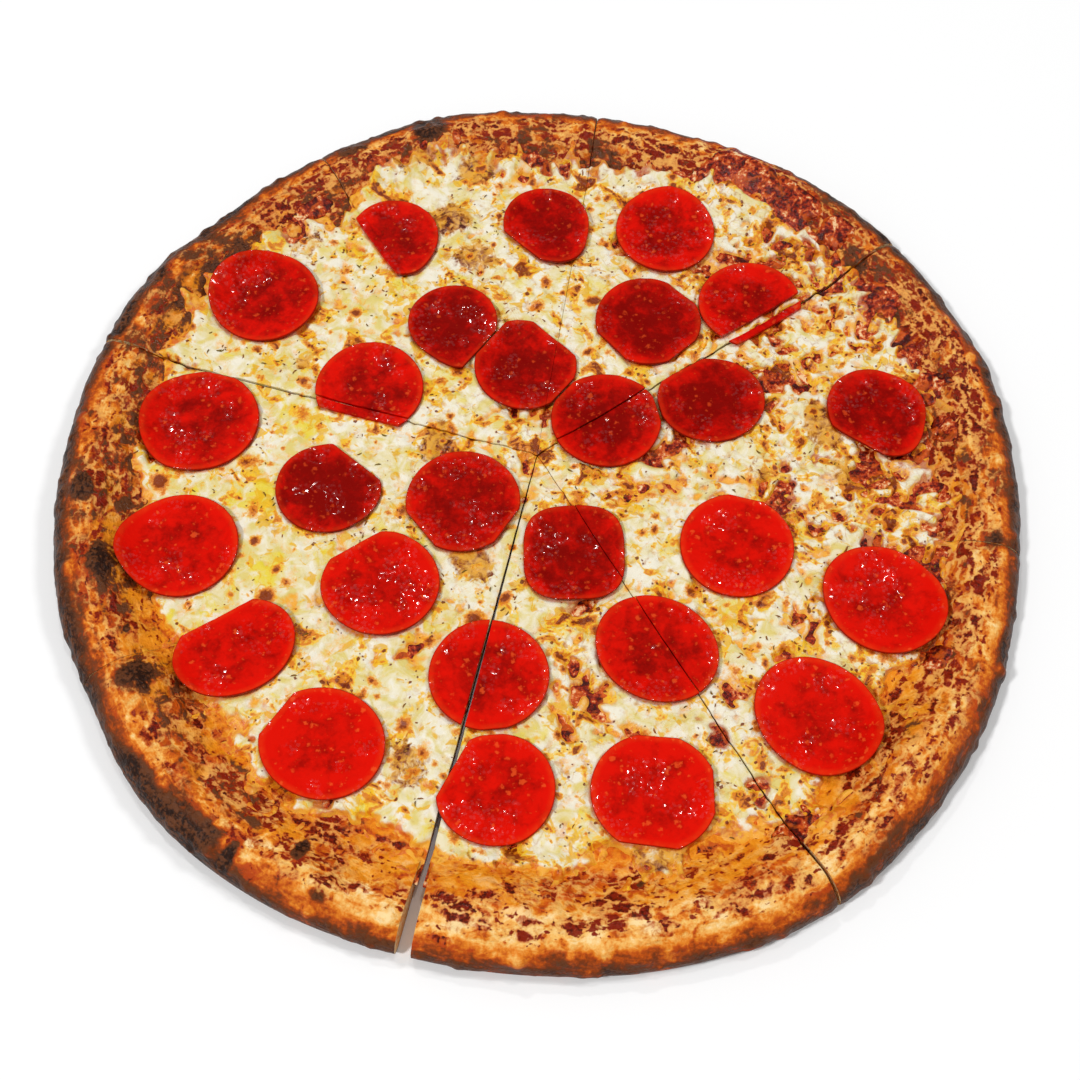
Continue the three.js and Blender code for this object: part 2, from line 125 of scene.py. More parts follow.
# Centre, half length and half width and how far the long way is turned; corners drawn out and
# flats pressed in towards an angle; tone is how dark the piece is baked.
PEPPERONIS = [
    dict(x=-65, y=126, long=20, wide=20, corner=[(-65, 0.13)], crosses="upper_left", sliver=3.5,
         tone=0.5),
    dict(x=3.5, y=133, long=20.3, wide=19.3, turn=90, corner=[(-57, 0.2)], flat=[(-135, 16.5)],
         tone=0.65),
    dict(x=57.3, y=129.3, long=23.3, wide=22.2, turn=90, tone=0.35),
    dict(x=93, y=88.5, long=22.6, wide=22.3, crosses="upper_right", sliver=3, trim=3, tone=0.4),
    dict(x=48, y=79.4, long=23, wide=22.6, flat=[(45, 21.3), (-140, 20.8), (-50, 21.4)],
         tone=0.75),
    dict(x=-120.4, y=92.1, long=24, wide=23, turn=-15, tone=0.45),
    dict(x=-37.3, y=79.4, long=19.5, wide=19.5, corner=[(-76, 0.27)], flat=[(-36, 18.2)],
         tone=0.8),
    dict(x=-5.4, y=56.5, long=22, wide=22, corner=[(108, 0.1)],
         flat=[(45, 18.5), (144, 20.3), (-39, 20.5)], crosses="top", tone=0.7),
    dict(x=28.6, y=29.1, long=23.2, wide=22.6, flat=[(141, 22.2), (13, 22.2)],
         crosses="upper_right", tone=0.65),
    dict(x=73.4, y=39.5, long=22.8, wide=20.8, flat=[(123.8, 18.7), (193, 22.4)], tone=0.75),
    dict(x=-71.8, y=44.5, long=23, wide=22.6, corner=[(105, 0.04)], crosses="left", sliver=4,
         tone=0.4),
    dict(x=-142.4, y=29.2, long=24.8, wide=24.3, corner=[(235, 0.04)], flat=[(73.7, 23.6)],
         tone=0.4),
    dict(x=142.5, y=34, long=20.6, wide=20.6, corner=[(-60, 0.18)], flat=[(-125, 17.5)],
         tone=0.65),
    dict(x=-86.8, y=-3.3, long=21.2, wide=20.8, corner=[(-8, 0.06)], flat=[(50, 16.8)],
         tone=0.85),
    dict(x=-30.7, y=-9.7, long=23.5, wide=23.3, flat=[(-33, 21.6), (218, 21.3)],
         crosses="lower_left", tone=0.6),
    dict(x=14.5, y=-33.5, long=22.2, wide=21.6, turn=90, square=0.06, crosses="lower_right",
         tone=0.7),
    dict(x=80.2, y=-29.9, long=23.3, wide=23, turn=90, flat=[(76.1, 22.2)], tone=0.15),
    dict(x=136.5, y=-54.2, long=25, wide=22.2, turn=-38, tone=0.2),
    dict(x=-144.3, y=-29.9, long=23.6, wide=22.9, corner=[(180, 0.06)], tone=0.2),
    dict(x=-62.4, y=-47.2, long=23.4, wide=22.7, corner=[(180, 0.03)], flat=[(120.7, 20)],
         tone=0.25),
    dict(x=-117.9, y=-74.8, long=24.3, wide=19.6, turn=28, flat=[(120.7, 15.1)], tone=0.2),
    dict(x=-81.5, y=-113.4, long=24.3, wide=22, turn=-20, flat=[(145, 21.3)], tone=0.05),
    dict(x=-18.9, y=-86.1, long=23.4, wide=22.8, flat=[(-85, 22.3)], crosses="near", tone=0.3),
    dict(x=46.3, y=-75, long=24.8, wide=21.6, turn=-32, crosses="lower_right", tone=0.35),
    dict(x=106.3, y=-102.8, long=25.3, wide=22.5, turn=-46, tone=0.15),
    dict(x=-15.4, y=-131.5, long=22, wide=21.8, corner=[(201, 0.04)],
         flat=[(152, 18.4), (95, 21.5)], tone=0.15),
    dict(x=43.2, y=-132.7, long=23.8, wide=23, flat=[(0, 22.3), (-97, 20.5), (85, 21.8)],
         tone=0.1),
]

# ---- Marks left by the oven: centre, half length round the rim, half width, strength ----
CHARRED = [
    (-184, -8, 8, 6, 1.0), (-174, -41, 10, 7, 0.9), (-153, -90, 9, 8, 1.0),
    (-51, 183, 9, 8, 1.2), (-85, 172, 7, 3, 0.9), (-180, 76, 7, 4, 0.8), (-167, 99, 6, 4, 0.7),
    (-130, -143, 16, 8, 0.85), (-112, -158, 3, 9, 1.3), (-121, -150, 10, 8, 0.9),
    (-86, -155, 3, 5, 1.2), (-78, -172, 4, 3, 1.0), (-68, 184, 8, 2.5, 0.8),
    (193, 60, 9, 3, 0.9), (190, 78, 8, 4, 0.8), (180, 96, 10, 4, 0.8), (135, 146, 12, 4, 0.7),
    (158, 122, 10, 4, 0.9), (102, 171, 12, 3, 0.8), (193, 30, 3, 3, 1.0), (182, -31, 7, 4, 0.8),
    (183, -75, 9, 4, 0.6), (141, -112, 6, 5, 0.5), (-30, -37, 3, 2.5, 0.9), (37, -167, 3, 2, 1),
    (123, 24, 4, 2.5, 0.8), (-29, 169, 3, 2.5, 1.0), (-38, 134, 3, 4, 0.8), (-160, -68, 3, 3, 1),
    (-147, -128, 14, 5, 0.7), (58, 188, 9, 3, 0.8), (5, 196, 10, 3, 0.6), (-140, 136, 12, 3, 0.7),
]
RED_PATCHES = [
    (93, 162, 26, 10, 0.9), (115, 147, 16, 10, 0.9), (132, 130, 12, 10, 0.9), (47, 168, 14, 7, 0.9),
    (163, 92, 14, 9, 0.7), (166, 68, 12, 9, 0.8), (172, 49, 12, 7, 0.8), (178, 29, 12, 6, 0.8),
    (177, 5, 10, 6, 0.7), (173, -37, 12, 6, 0.6), (168, -63, 12, 7, 0.8), (157, -84, 9, 7, 0.8),
    (92, -151, 14, 7, 0.9), (19, -183, 16, 5, 1.1), (-2, -186, 8, 5, 1.0), (-100, 147, 12, 8, 0.7),
    (-116, 133, 12, 7, 0.6), (-166, 17, 12, 7, 0.7), (-115, -130, 12, 9, 0.9),
    (-101, -141, 12, 8, 1), (-88, -157, 10, 7, 1.0), (-77, -140, 9, 7, 0.7),
    (-31, -176, 9, 5, 0.9), (-45, -172, 8, 5, 0.8),
    (29, 166, 7, 8, 0.8), (-60, 160, 12, 6, 0.6), (60, -178, 10, 5, 0.8), (37, -178, 8, 4, 0.8),
    (110, -148, 8, 6, 0.7), (-150, 62, 9, 7, 0.5),
]
SAUCE_SHOWING = [
    (93, 158, 20, 9, 1.0), (118, 142, 15, 10, 1.0), (133, 124, 10, 10, 0.9), (47, 165, 12, 7, 0.8),
    (150, 90, 12, 9, 0.9), (158, 68, 10, 8, 0.9), (165, 45, 12, 9, 0.9), (170, 25, 10, 7, 0.8),
    (104, 3, 7, 6, 0.7), (101, -10, 6, 6, 0.8), (69, -110, 6, 10, 0.9), (82, -131, 7, 9, 0.9),
    (135, -29, 12, 6, 0.9), (92, -148, 12, 6, 0.8), (-100, 142, 12, 6, 0.8), (-112, 126, 8, 7, 0.7),
    (-160, 17, 9, 6, 0.9), (15, -56, 12, 4, 0.9), (118, 12, 9, 6, 0.7), (30, 163, 6, 8, 0.8),
    (-28, 147, 7, 8, 0.6), (-30, 120, 5, 9, 0.5), (110, 118, 9, 8, 0.6), (-148, 58, 8, 6, 0.7),
    (63, -102, 5, 7, 0.8), (155, -80, 9, 7, 0.7), (-80, -135, 8, 6, 0.6), (-104, -112, 7, 6, 0.6),
]
YELLOW_PLACES = [
    (-42, 50, 15, 6, 1.0), (-107, -41, 12, 9, 0.7), (27, 95, 9, 9, 0.8), (78, -59, 12, 6, 0.8),
    (8, -104, 8, 10, 0.7), (-98, 29, 10, 8, 0.5), (-84, 119, 8, 8, 0.6), (15, 24, 9, 8, 0.5),
    (40, -6, 12, 9, 0.6), (9, -62, 10, 8, 0.7), (-73, -75, 10, 9, 0.4), (20, 128, 9, 9, 0.5),
    (-115, -8, 14, 8, 0.8), (-58, 96, 9, 9, 0.7), (-12, 104, 10, 9, 0.6), (104, 62, 9, 8, 0.3),
]
TOASTED_PLACES = [
    (-42, 20, 13, 7, 1.0), (-27, -36, 14, 9, 0.9), (-40, 136, 12, 11, 1.0), (120, 28, 15, 10, 0.9),
    (-29, 165, 13, 8, 0.8), (126, 6, 9, 8, 0.6), (-25, -168, 36, 15, 0.8), (42, -158, 26, 8, 0.7),
    (-58, 168, 14, 8, 0.6), (50, 20, 16, 9, 0.4), (-152, -78, 14, 8, 0.7), (132, -98, 14, 9, 0.7),
    (-12, 82, 9, 7, 0.5), (92, 8, 10, 7, 0.5), (-158, 40, 8, 8, 0.5), (-101, 60, 7, 4, 0.7),
    (-28, 116, 13, 12, 0.75), (-104, 122, 13, 8, 0.6), (-50, -122, 12, 14, 0.65),
]

# ---- How fine the made surfaces are ----
MAP_CELL = 0.5
MAP_HALF = 208.0
MAP_LINE = np.arange(-MAP_HALF, MAP_HALF + MAP_CELL / 2, MAP_CELL)
LATTICE = 128
LATTICE_DEPTH = LATTICE // 8

# ---- Where small things are scattered: within a radius, at least an inset from the edge ----
SHREDS = {"radius": 182, "inset": 24}
TOAST = {"radius": 172}
HERBS = {"radius": 170, "inset": 30}
HERB_SEED = 900
PEPPERONI_SEED = 400


def radians(degrees):
    """Degrees in radians, also for arrays."""
    return np.deg2rad(degrees)


def lerp(start, end, share):
    """The value a share of the way from start to end."""
    return start + (end - start) * share


def smooth(low, high, value):
    """0 below low, 1 above high and an even S between them."""
    share = np.clip((value - low) / (high - low), 0, 1)
    return share * share * (3 - 2 * share)


def seen_along(dx, dy, cos, sin):
    """Offsets measured along a direction and to its left."""
    return dx * cos + dy * sin, dy * cos - dx * sin


def heading(angle):
    """Unit plan vectors (n, 2) towards angles."""
    return np.stack([np.cos(angle), np.sin(angle)], 1)


def on_plan(x, y):
    """Plan coordinates as points (n, 3) at height 0."""
    return np.stack([x, y, np.zeros_like(x)], 1)


def place_within(rng, radius):
    """A random plan point within a radius of the origin."""
    distance = radius * math.sqrt(rng.random())
    towards = TURN * rng.random()
    return distance * math.cos(towards), distance * math.sin(towards)


def outline_radius(angle):
    """Outer radius towards an angle about the origin, smooth through RIM_RADII."""
    count = len(RIM_RADII)
    place = np.mod(angle / TURN, 1) * count
    index = np.floor(place).astype(int)
    t = place - index
    a, b, c, d = (RIM_RADII[(index + step) % count] for step in (-1, 0, 1, 2))
    tangent_in = (c - a) / 2
    tangent_out = (d - b) / 2
    bend = tangent_in + tangent_out - 2 * (c - b)
    return b + t * (tangent_in + t * (3 * (c - b) - 2 * tangent_in - tangent_out + t * bend))


def inset_at(x, y):
    """How far a plan point is in from the outer edge."""
    return outline_radius(np.arctan2(y, x)) - np.hypot(x, y)


def ridge_height(angle):
    """Height of the rim's top, which rises and falls round the pizza."""
    return RIDGE_HEIGHT + 1.1 * np.sin(3 * angle + 4.0) + 0.7 * np.sin(8 * angle + 1.3)


def cheese_inset(angle):
    """Where the cheese stops: wide bare crust on the near side, narrow on the far side."""
    return (CHEESE_INSET["mean"] - CHEESE_INSET["swing"] * np.sin(angle + 0.15)
            + CHEESE_INSET["ripple"] * np.sin(9 * angle + 0.8))


def bubble_rise(x, y):
    """Height that the blown-up places add to the dough."""
    angle = np.arctan2(y, x)
    rise = np.zeros_like(x)
    cos, sin = np.cos(angle), np.sin(angle)
    for centre_x, centre_y, along, across, high in BUBBLES:
        outward, around = seen_along(x - centre_x, y - centre_y, cos, sin)
        fall = np.clip(1 - (outward / across) ** 2 - (around / along) ** 2, 0, None)
        rise = np.maximum(rise, high * fall ** 1.5)
    return rise


def dough_top(x, y, floor):
    """Top of the dough: up the round outside, over the ridge and down the slope to the flat."""
    angle = np.arctan2(y, x)
    inset = inset_at(x, y)
    ridge = ridge_height(angle)
    rise = bubble_rise(x, y)
    rest = 1 - np.clip(inset / RIDGE_INSET, 0, 1)
    climb = np.sqrt(1 - rest * rest)
    outside = lerp(LIP_HEIGHT, ridge, climb) + rise * climb
    down = np.clip((inset - RIDGE_INSET) / (FOOT_INSET - RIDGE_INSET), 0, 1)
    slope = 0.5 + 0.5 * np.cos(np.pi * down)
    wave = DOUGH_WAVE * np.sin(x / 23 + 1) * np.sin(y / 19 + 2) * down
    inside = lerp(floor, ridge, slope) + wave + rise
    return np.where(inset < RIDGE_INSET, outside, inside)


def dough_base(x, y):
    """Underside of the dough, turned up towards the outer edge."""
    rest = 1 - np.clip(inset_at(x, y) / LIP_UNDERCUT, 0, 1)
    return LIP_HEIGHT * (1 - np.sqrt(1 - rest * rest))


def over_the_rim(inset):
    """Distance along the crust's skin from its widest line to a point at an inset."""
    mean_radius = (RIDGE_INSET + RIDGE_HEIGHT - LIP_HEIGHT) / 2
    quarter = np.arccos(np.clip(1 - inset / RIDGE_INSET, 0, 1))
    return quarter * mean_radius + np.clip(inset - RIDGE_INSET, 0, None) * 1.1


# ---- Cuts and slices ----
def slice_side(cut, side, layer=None):
    """Point and angle of the line beside a cut, opening out with what a layer left of its gap."""
    degrees, gap_in, gap_out = CUTS[cut]
    angle = radians(degrees)
    left_open = side if layer is None else side * (1 - CLOSED[cut][layer])
    opening = math.atan(left_open * (gap_out - gap_in) / 2 / CUT_REACH)
    offset = left_open * gap_in / 2
    return CUT_POINT + offset * np.array([-math.sin(angle), math.cos(angle)]), angle + opening


def left_of(line, x, y):
    """How far plan points lie to the left of a line, looking out from the cutting point."""
    point, angle = line
    return (y - point[1]) * math.cos(angle) - (x - point[0]) * math.sin(angle)


def slice_fan(number, layer):
    """Tip, first direction and turn of a slice, whose columns fan out from the tip."""
    first_cut, last_cut, _ = SLICES[number]
    first_point, first_angle = slice_side(first_cut, 1, layer)
    last_point, last_angle = slice_side(last_cut, -1, layer)
    turn = (last_angle - first_angle) % TURN
    between = last_point - first_point
    run = (between[0] * math.sin(last_angle) - between[1] * math.cos(last_angle)) / math.sin(turn)
    tip = first_point + run * np.array([math.cos(first_angle), math.sin(first_angle)])
    return tip, first_angle, turn


def reach_from(tip, direction):
    """Distance from a slice's tip to the outline, for an array of directions."""
    ux = np.cos(direction)
    uy = np.sin(direction)
    along = tip[0] * ux + tip[1] * uy
    reach = outline_radius(direction)
    for _ in range(6):
        radius = outline_radius(np.arctan2(tip[1] + reach * uy, tip[0] + reach * ux))
        reach = -along + np.sqrt(along ** 2 - tip @ tip + radius ** 2)
    return reach


def slice_at(x, y):
    """Number of the slice that a plan point lies on."""
    angle = math.atan2(y - CUT_POINT[1], x - CUT_POINT[0])
    for number in range(len(SLICES)):
        first = radians(CUTS[SLICES[number][0]][0])
        last = radians(CUTS[SLICES[number][1]][0])
        if (angle - first) % TURN < (last - first) % TURN:
            return number
    raise ValueError("the plan point lies on no slice")


def main_side(spec):
    """The side of its cut on which a cut piece of pepperoni has its centre."""
    return 1 if left_of(slice_side(spec["crosses"], 0), spec["x"], spec["y"]) > 0 else -1


def pepperoni_radius(spec, angle):
    """Outline of a slice of pepperoni towards an array of angles."""
    from_long = angle - radians(spec.get("turn", 0))
    radius = 1 / np.hypot(np.cos(from_long) / spec["long"], np.sin(from_long) / spec["wide"])
    radius = radius * (1 - spec.get("square", 0) * np.cos(4 * angle))
    for towards, drawn_out in spec.get("corner", []):
        away = angle - radians(towards)
        away = np.arctan2(np.sin(away), np.cos(away)) / 0.5
        radius = radius * (1 + drawn_out * np.exp(-away * away))
    for towards, distance in spec.get("flat", []):
        facing = np.cos(angle - radians(towards))
        pressed = distance / np.clip(facing, 0.3, 1)
        radius = np.where(facing > 0.3, np.minimum(radius, pressed), radius)
    return radius


# ---- Noise and maps ----
@functools.lru_cache(maxsize=None)
def lattice(seed):
    """A table of random values from -1 to 1."""
    return np.random.default_rng(seed).uniform(-1, 1, (LATTICE, LATTICE, LATTICE_DEPTH))


def noise(points, size, seed):
    """Smooth noise from -1 to 1 at points (n, 3), its lumps about size millimetres across."""
    table = lattice(seed)
    place = points / size + 1000.37
    cell = np.floor(place).astype(int)
    share = place - cell
    share = share * share * (3 - 2 * share)
    total = np.zeros(len(points))
    for dx in (0, 1):
        for dy in (0, 1):
            for dz in (0, 1):
                weight = np.where(dx, share[:, 0], 1 - share[:, 0])
                weight = weight * np.where(dy, share[:, 1], 1 - share[:, 1])
                weight = weight * np.where(dz, share[:, 2], 1 - share[:, 2])
                total += weight * table[(cell[:, 0] + dx) % LATTICE, (cell[:, 1] + dy) % LATTICE,
                                        (cell[:, 2] + dz) % LATTICE_DEPTH]
    return total


def rough(points, size, seed, octaves):
    """Noise with finer noise on it, each octave half as large and half as strong."""
    total = np.zeros(len(points))
    for octave in range(octaves):
        turned = points[:, [1, 0, 2]] if octave % 2 else points
        total += noise(turned, size / 2 ** octave, seed + octave) / 2 ** octave
    return total


class Chart:
    """A map of the pizza seen from above, with one value in each small square cell."""

    def __init__(self, values):
        self.values = values

    @staticmethod
    def axes():
        """Plan coordinates of all cells."""
        return np.meshgrid(MAP_LINE, MAP_LINE)

    @classmethod
    def flat(cls, value=0.0):
        """A map with one value all over."""
        return cls(np.full((len(MAP_LINE), len(MAP_LINE)), float(value)))

    def window(self, x, y, reach):
        """The part of the map within reach of a point, and the offsets of its cells."""
        low = [int((c - reach + MAP_HALF) / MAP_CELL) for c in (x, y)]
        high = [int((c + reach + MAP_HALF) / MAP_CELL) + 2 for c in (x, y)]
        low = [max(value, 0) for value in low]
        columns = np.arange(low[0], min(high[0], self.values.shape[1]))
        rows = np.arange(low[1], min(high[1], self.values.shape[0]))
        dx, dy = np.meshgrid(columns * MAP_CELL - MAP_HALF - x, rows * MAP_CELL - MAP_HALF - y)
        return (slice(rows[0], rows[-1] + 1), slice(columns[0], columns[-1] + 1)), dx, dy

    def at(self, x, y):
        """Values at plan points, evened between the cells."""
        u = np.clip((x + MAP_HALF) / MAP_CELL, 0, self.values.shape[1] - 1.001)
        v = np.clip((y + MAP_HALF) / MAP_CELL, 0, self.values.shape[0] - 1.001)
        i = u.astype(int)
        j = v.astype(int)
        s = u - i
        t = v - j
        table = self.values
        return ((table[j, i] * (1 - s) + table[j, i + 1] * s) * (1 - t)
                + (table[j + 1, i] * (1 - s) + table[j + 1, i + 1] * s) * t)

    def blurred(self, spread):
        """The map with each value spread over its neighbours, spread in millimetres."""
        reach = int(3 * spread / MAP_CELL) + 1
        steps = np.arange(-reach, reach + 1)
        weights = np.exp(-0.5 * (steps * MAP_CELL / spread) ** 2)
        weights /= weights.sum()
        result = self.values
        for axis in (0, 1):
            padded = np.pad(result, [(reach, reach) if a == axis else (0, 0) for a in (0, 1)],
                            mode="edge")
            size = result.shape[axis]
            result = sum(weight * np.take(padded, range(step, step + size), axis)
                         for step, weight in enumerate(weights))
        return Chart(result)

    def stamp_marks(self, marks):
        """Adds round marks that are turned to lie along the rim."""
        for x, y, along, across, strength in marks:
            spot, dx, dy = self.window(x, y, 1.3 * max(along, across))
            angle = math.atan2(y, x)
            outward, around = seen_along(dx, dy, math.cos(angle), math.sin(angle))
            mark = strength * (1 - smooth(0.35, 1.25, np.hypot(outward / across, around / along)))
            self.values[spot] = np.maximum(self.values[spot], mark)
        return self


def noise_map(size, seed, octaves):
    """The values of a map of rough noise."""
    x, y = Chart.axes()
    return rough(on_plan(x.ravel(), y.ravel()), size, seed, octaves).reshape(x.shape)


class Toppings:
    """The maps that say how sauce, cheese and oven marks lie on the dough."""

    def __init__(self):
        sizes = bpy.context.scene.pizza_sizes
        rng = np.random.default_rng(sizes.seed)
        x, y = Chart.axes()
        angle = np.arctan2(y, x)
        inset = inset_at(x, y)
        self.to_pepperoni = self.pepperoni_distance()
        self.charred = Chart.flat().stamp_marks(CHARRED)
        slope = smooth(7, 13, inset + 3 * noise_map(9, 41, 2)) * (1 - smooth(34, 44, inset))
        flecked = 0.55 + 0.25 * np.cos(angle - 1.0) + 0.25 * noise_map(30, 43, 2)
        self.red = Chart(slope * np.clip(flecked, 0, 1))
        self.red.stamp_marks(RED_PATCHES)
        self.showing = Chart.flat().stamp_marks(SAUCE_SHOWING)
        self.yellow_places = Chart.flat().stamp_marks(YELLOW_PLACES)
        self.toasted_places = Chart.flat().stamp_marks(TOASTED_PLACES)
        patchy = noise_map(17, 11, 4)
        self.patchy = Chart(patchy)
        fine = noise_map(5, 21, 3)
        busy = 0.48 + 0.003 * x + 0.0008 * y + 0.36 * noise_map(30, 61, 3)
        self.busy = Chart(np.clip(busy, 0, 1))
        beyond = inset - cheese_inset(angle) + 8 * patchy + 3 * fine + 5 * noise_map(40, 63, 2)
        self.beyond = Chart(beyond)
        seam = np.exp(-((beyond - 3) / 6) ** 2) * np.clip(0.3 + 0.45 * np.cos(angle - 0.5), 0, 1)
        self.showing.values = np.maximum(self.showing.values, seam)
        bare = smooth(0.4, 0.95, self.showing.values + 0.45 * patchy + 0.35 * fine)
        thinner = smooth(-0.1, 0.65, 0.6 * noise_map(22, 31, 3) + 0.4 * fine + 0.9 * (busy - 0.5))
        self.cover = Chart(smooth(-3, 6, beyond) * (1 - 0.85 * bare) * (1 - 0.72 * thinner))
        marked = smooth(0.3, 0.65, self.showing.values + 0.35 * patchy + 0.25 * fine)
        self.spread_sauce = Chart(np.maximum(smooth(1, 5, beyond), marked))
        self.strands(rng, sizes)
        self.toast(rng, sizes)
        self.blisters(np.random.default_rng(sizes.seed + 2), sizes)

    def pepperoni_distance(self):
        """How far each cell is outside the nearest pepperoni's edge, negative inside it."""
        distance = Chart.flat(99.0)
        for spec in PEPPERONIS:
            spot, dx, dy = distance.window(spec["x"], spec["y"], 36)
            outside = np.hypot(dx, dy) - pepperoni_radius(spec, np.arctan2(dy, dx))
            if "sliver" in spec:
                x, y = spec["x"] + dx, spec["y"] + dy
                side = main_side(spec)
                near, far = (slice_side(spec["crosses"], s) for s in (side, -side))
                short = spec.get("trim", 0) - side * left_of(near, x, y)
                past = -side * left_of(far, x, y) - spec["sliver"]
                outside = np.maximum(outside, np.minimum(short, past))
            distance.values[spot] = np.minimum(distance.values[spot], outside)
        return distance

    def strands(self, rng, sizes):
        """Melted shreds of two cheeses: their relief, their tone and which of them are yellow."""
        height = Chart.flat()
        tone = Chart.flat()
        yellow = Chart.flat()
        for _ in range(sizes.strands):
            x, y = place_within(rng, SHREDS["radius"])
            half = rng.uniform(*sizes.strand_half_length)
            wide = rng.uniform(*sizes.strand_half_width)
            half *= 0.8 + 0.9 * self.busy.at(x, y)
            turn = math.pi * rng.random()
            bend = rng.normal(0, 0.22) * half
            peak = rng.uniform(0.55, 1)
            shade = rng.normal(0, 0.5)
            lucky = rng.random()
            gold = rng.uniform(0.45, 1)
            if lucky > lerp(0.16, 1, self.cover.at(x, y)) or inset_at(x, y) < SHREDS["inset"]:
                continue
            wanted = 0.13 - 0.0006 * x + 0.6 * self.yellow_places.at(x, y)
            is_yellow = rng.random() < wanted + 0.12 * self.patchy.at(x, y)
            spot, dx, dy = height.window(x, y, half + wide + 1)
            along, across = seen_along(dx, dy, math.cos(turn), math.sin(turn))
            across = across - bend * (along / half) ** 2 + bend / 2
            away = np.hypot(np.clip(np.abs(along) - half, 0, None), across) / wide
            dome = peak * np.sqrt(np.clip(1 - away ** 2, 0, None))
            over = dome > height.values[spot]
            height.values[spot] = np.where(over, dome, height.values[spot])
            tone.values[spot] = np.where(over, shade, tone.values[spot])
            yellow.values[spot] = np.where(over, gold if is_yellow else 0, yellow.values[spot])
        melted = height.blurred(0.55)
        self.tone = tone.blurred(0.4)
        self.yellow = yellow.blurred(0.4)
        sheet = lerp(-2.8, 1.2, self.cover.values ** 0.6) + 0.25 * self.patchy.values
        relief = lerp(3.6, 1.2, self.cover.values) * melted.values
        relief = relief * lerp(0.75, 1.15, self.busy.values)
        self.cheese = Chart(self.pressed(sheet + relief))
        # crease is how far the cheese lies below its evened height; the finish darkens the cheese
        # there as painted shade.
        even = self.cheese.blurred(1.4)
        self.crease = Chart(np.clip(even.values - self.cheese.values, 0, 1))

    def pressed(self, height):
        """Cheese height with the pepperoni pressed into it and a bead melted round its edge."""
        away = self.to_pepperoni.values
        under = 1 - smooth(-2.5, -0.2, away)
        bead = 0.35 * np.exp(-((away - 0.6) / 1.1) ** 2)
        return lerp(height, np.minimum(height, 1.35), under) + bead * (1 - under)

    def toast(self, rng, sizes):
        """Browned spots on the cheese, each darkest at its middle."""
        toast = Chart.flat()
        for _ in range(sizes.toast_spots):
            x, y = place_within(rng, TOAST["radius"])
            size = 0.8 + rng.gamma(1.7, 0.75)
            stretch = rng.uniform(0.55, 1)
            turn = math.pi * rng.random()
            strength = rng.uniform(0.35, 1.15)
            likely = 0.5 + 0.5 * self.patchy.at(x, y) + self.toasted_places.at(x, y)
            if rng.random() > likely or self.to_pepperoni.at(x, y) < -1:
                continue
            spot, dx, dy = toast.window(x, y, 1.6 * size)
            along, across = seen_along(dx, dy, math.cos(turn), math.sin(turn))
            fall = strength * np.clip(1.15 - np.hypot(along / size, across / size / stretch), 0, 1)
            toast.values[spot] = np.maximum(toast.values[spot], fall)
        self.toasted = toast.blurred(0.4)

    def blisters(self, rng, sizes):
        """Small domes blown up in the rim's skin."""
        domes = Chart.flat()
        for _ in range(sizes.blisters):
            towards = TURN * rng.random()
            inset = rng.uniform(1, 34)
            size = min(1.0 + rng.gamma(1.6, 0.9), 4.2)
            high = size * rng.uniform(0.16, 0.42)
            distance = float(outline_radius(np.array([towards]))[0]) - inset
            x = distance * math.cos(towards)
            y = distance * math.sin(towards)
            spot, dx, dy = domes.window(x, y, size + 1)
            fall = high * np.clip(1 - (np.hypot(dx, dy) / size) ** 2, 0, None)
            domes.values[spot] = np.maximum(domes.values[spot], fall)
        self.domes = domes.blurred(0.5)


# ---- Surfaces at plan points ----
def to_side(number, x, y, layer):
    """Distance of plan points from the nearer cut side of their slice."""
    first_cut, last_cut, _ = SLICES[number]
    return np.minimum(left_of(slice_side(first_cut, 1, layer), x, y),
                      -left_of(slice_side(last_cut, -1, layer), x, y))


def sauce_top(toppings, number, x, y):
    """Top of the sauce, lumpy and sinking into the dough where none was spread."""
    lumps = 0.28 * rough(on_plan(x, y), 5, 71, 3)
    spread = toppings.spread_sauce.at(x, y)
    return dough_top(x, y, SLICES[number][2]) + lerp(-2.0, SAUCE_LEVEL, spread) + lumps


def cheese_top(toppings, number, x, y):
    """Top of the cheese, rounded off at the cuts."""
    height = toppings.cheese.at(x, y)
    rounded = 0.55 * np.exp(-np.clip(to_side(number, x, y, TOPPINGS), 0, None) / 0.7)
    return dough_top(x, y, SLICES[number][2]) + SAUCE_LEVEL + height - rounded


def resting_height(number, x, y):
    """Where the underside of the pepperoni lies: the dough, evened out, and the layers on it."""
    total = np.zeros_like(x)
    apart = 4
    ways = [TURN * k / 6 for k in range(6)]
    around = [(0, 0), *((apart * math.cos(way), apart * math.sin(way)) for way in ways)]
    for dx, dy in around:
        total += dough_top(x + dx, y + dy, SLICES[number][2])
    return total / len(around) + PEPPERONI_LEVEL


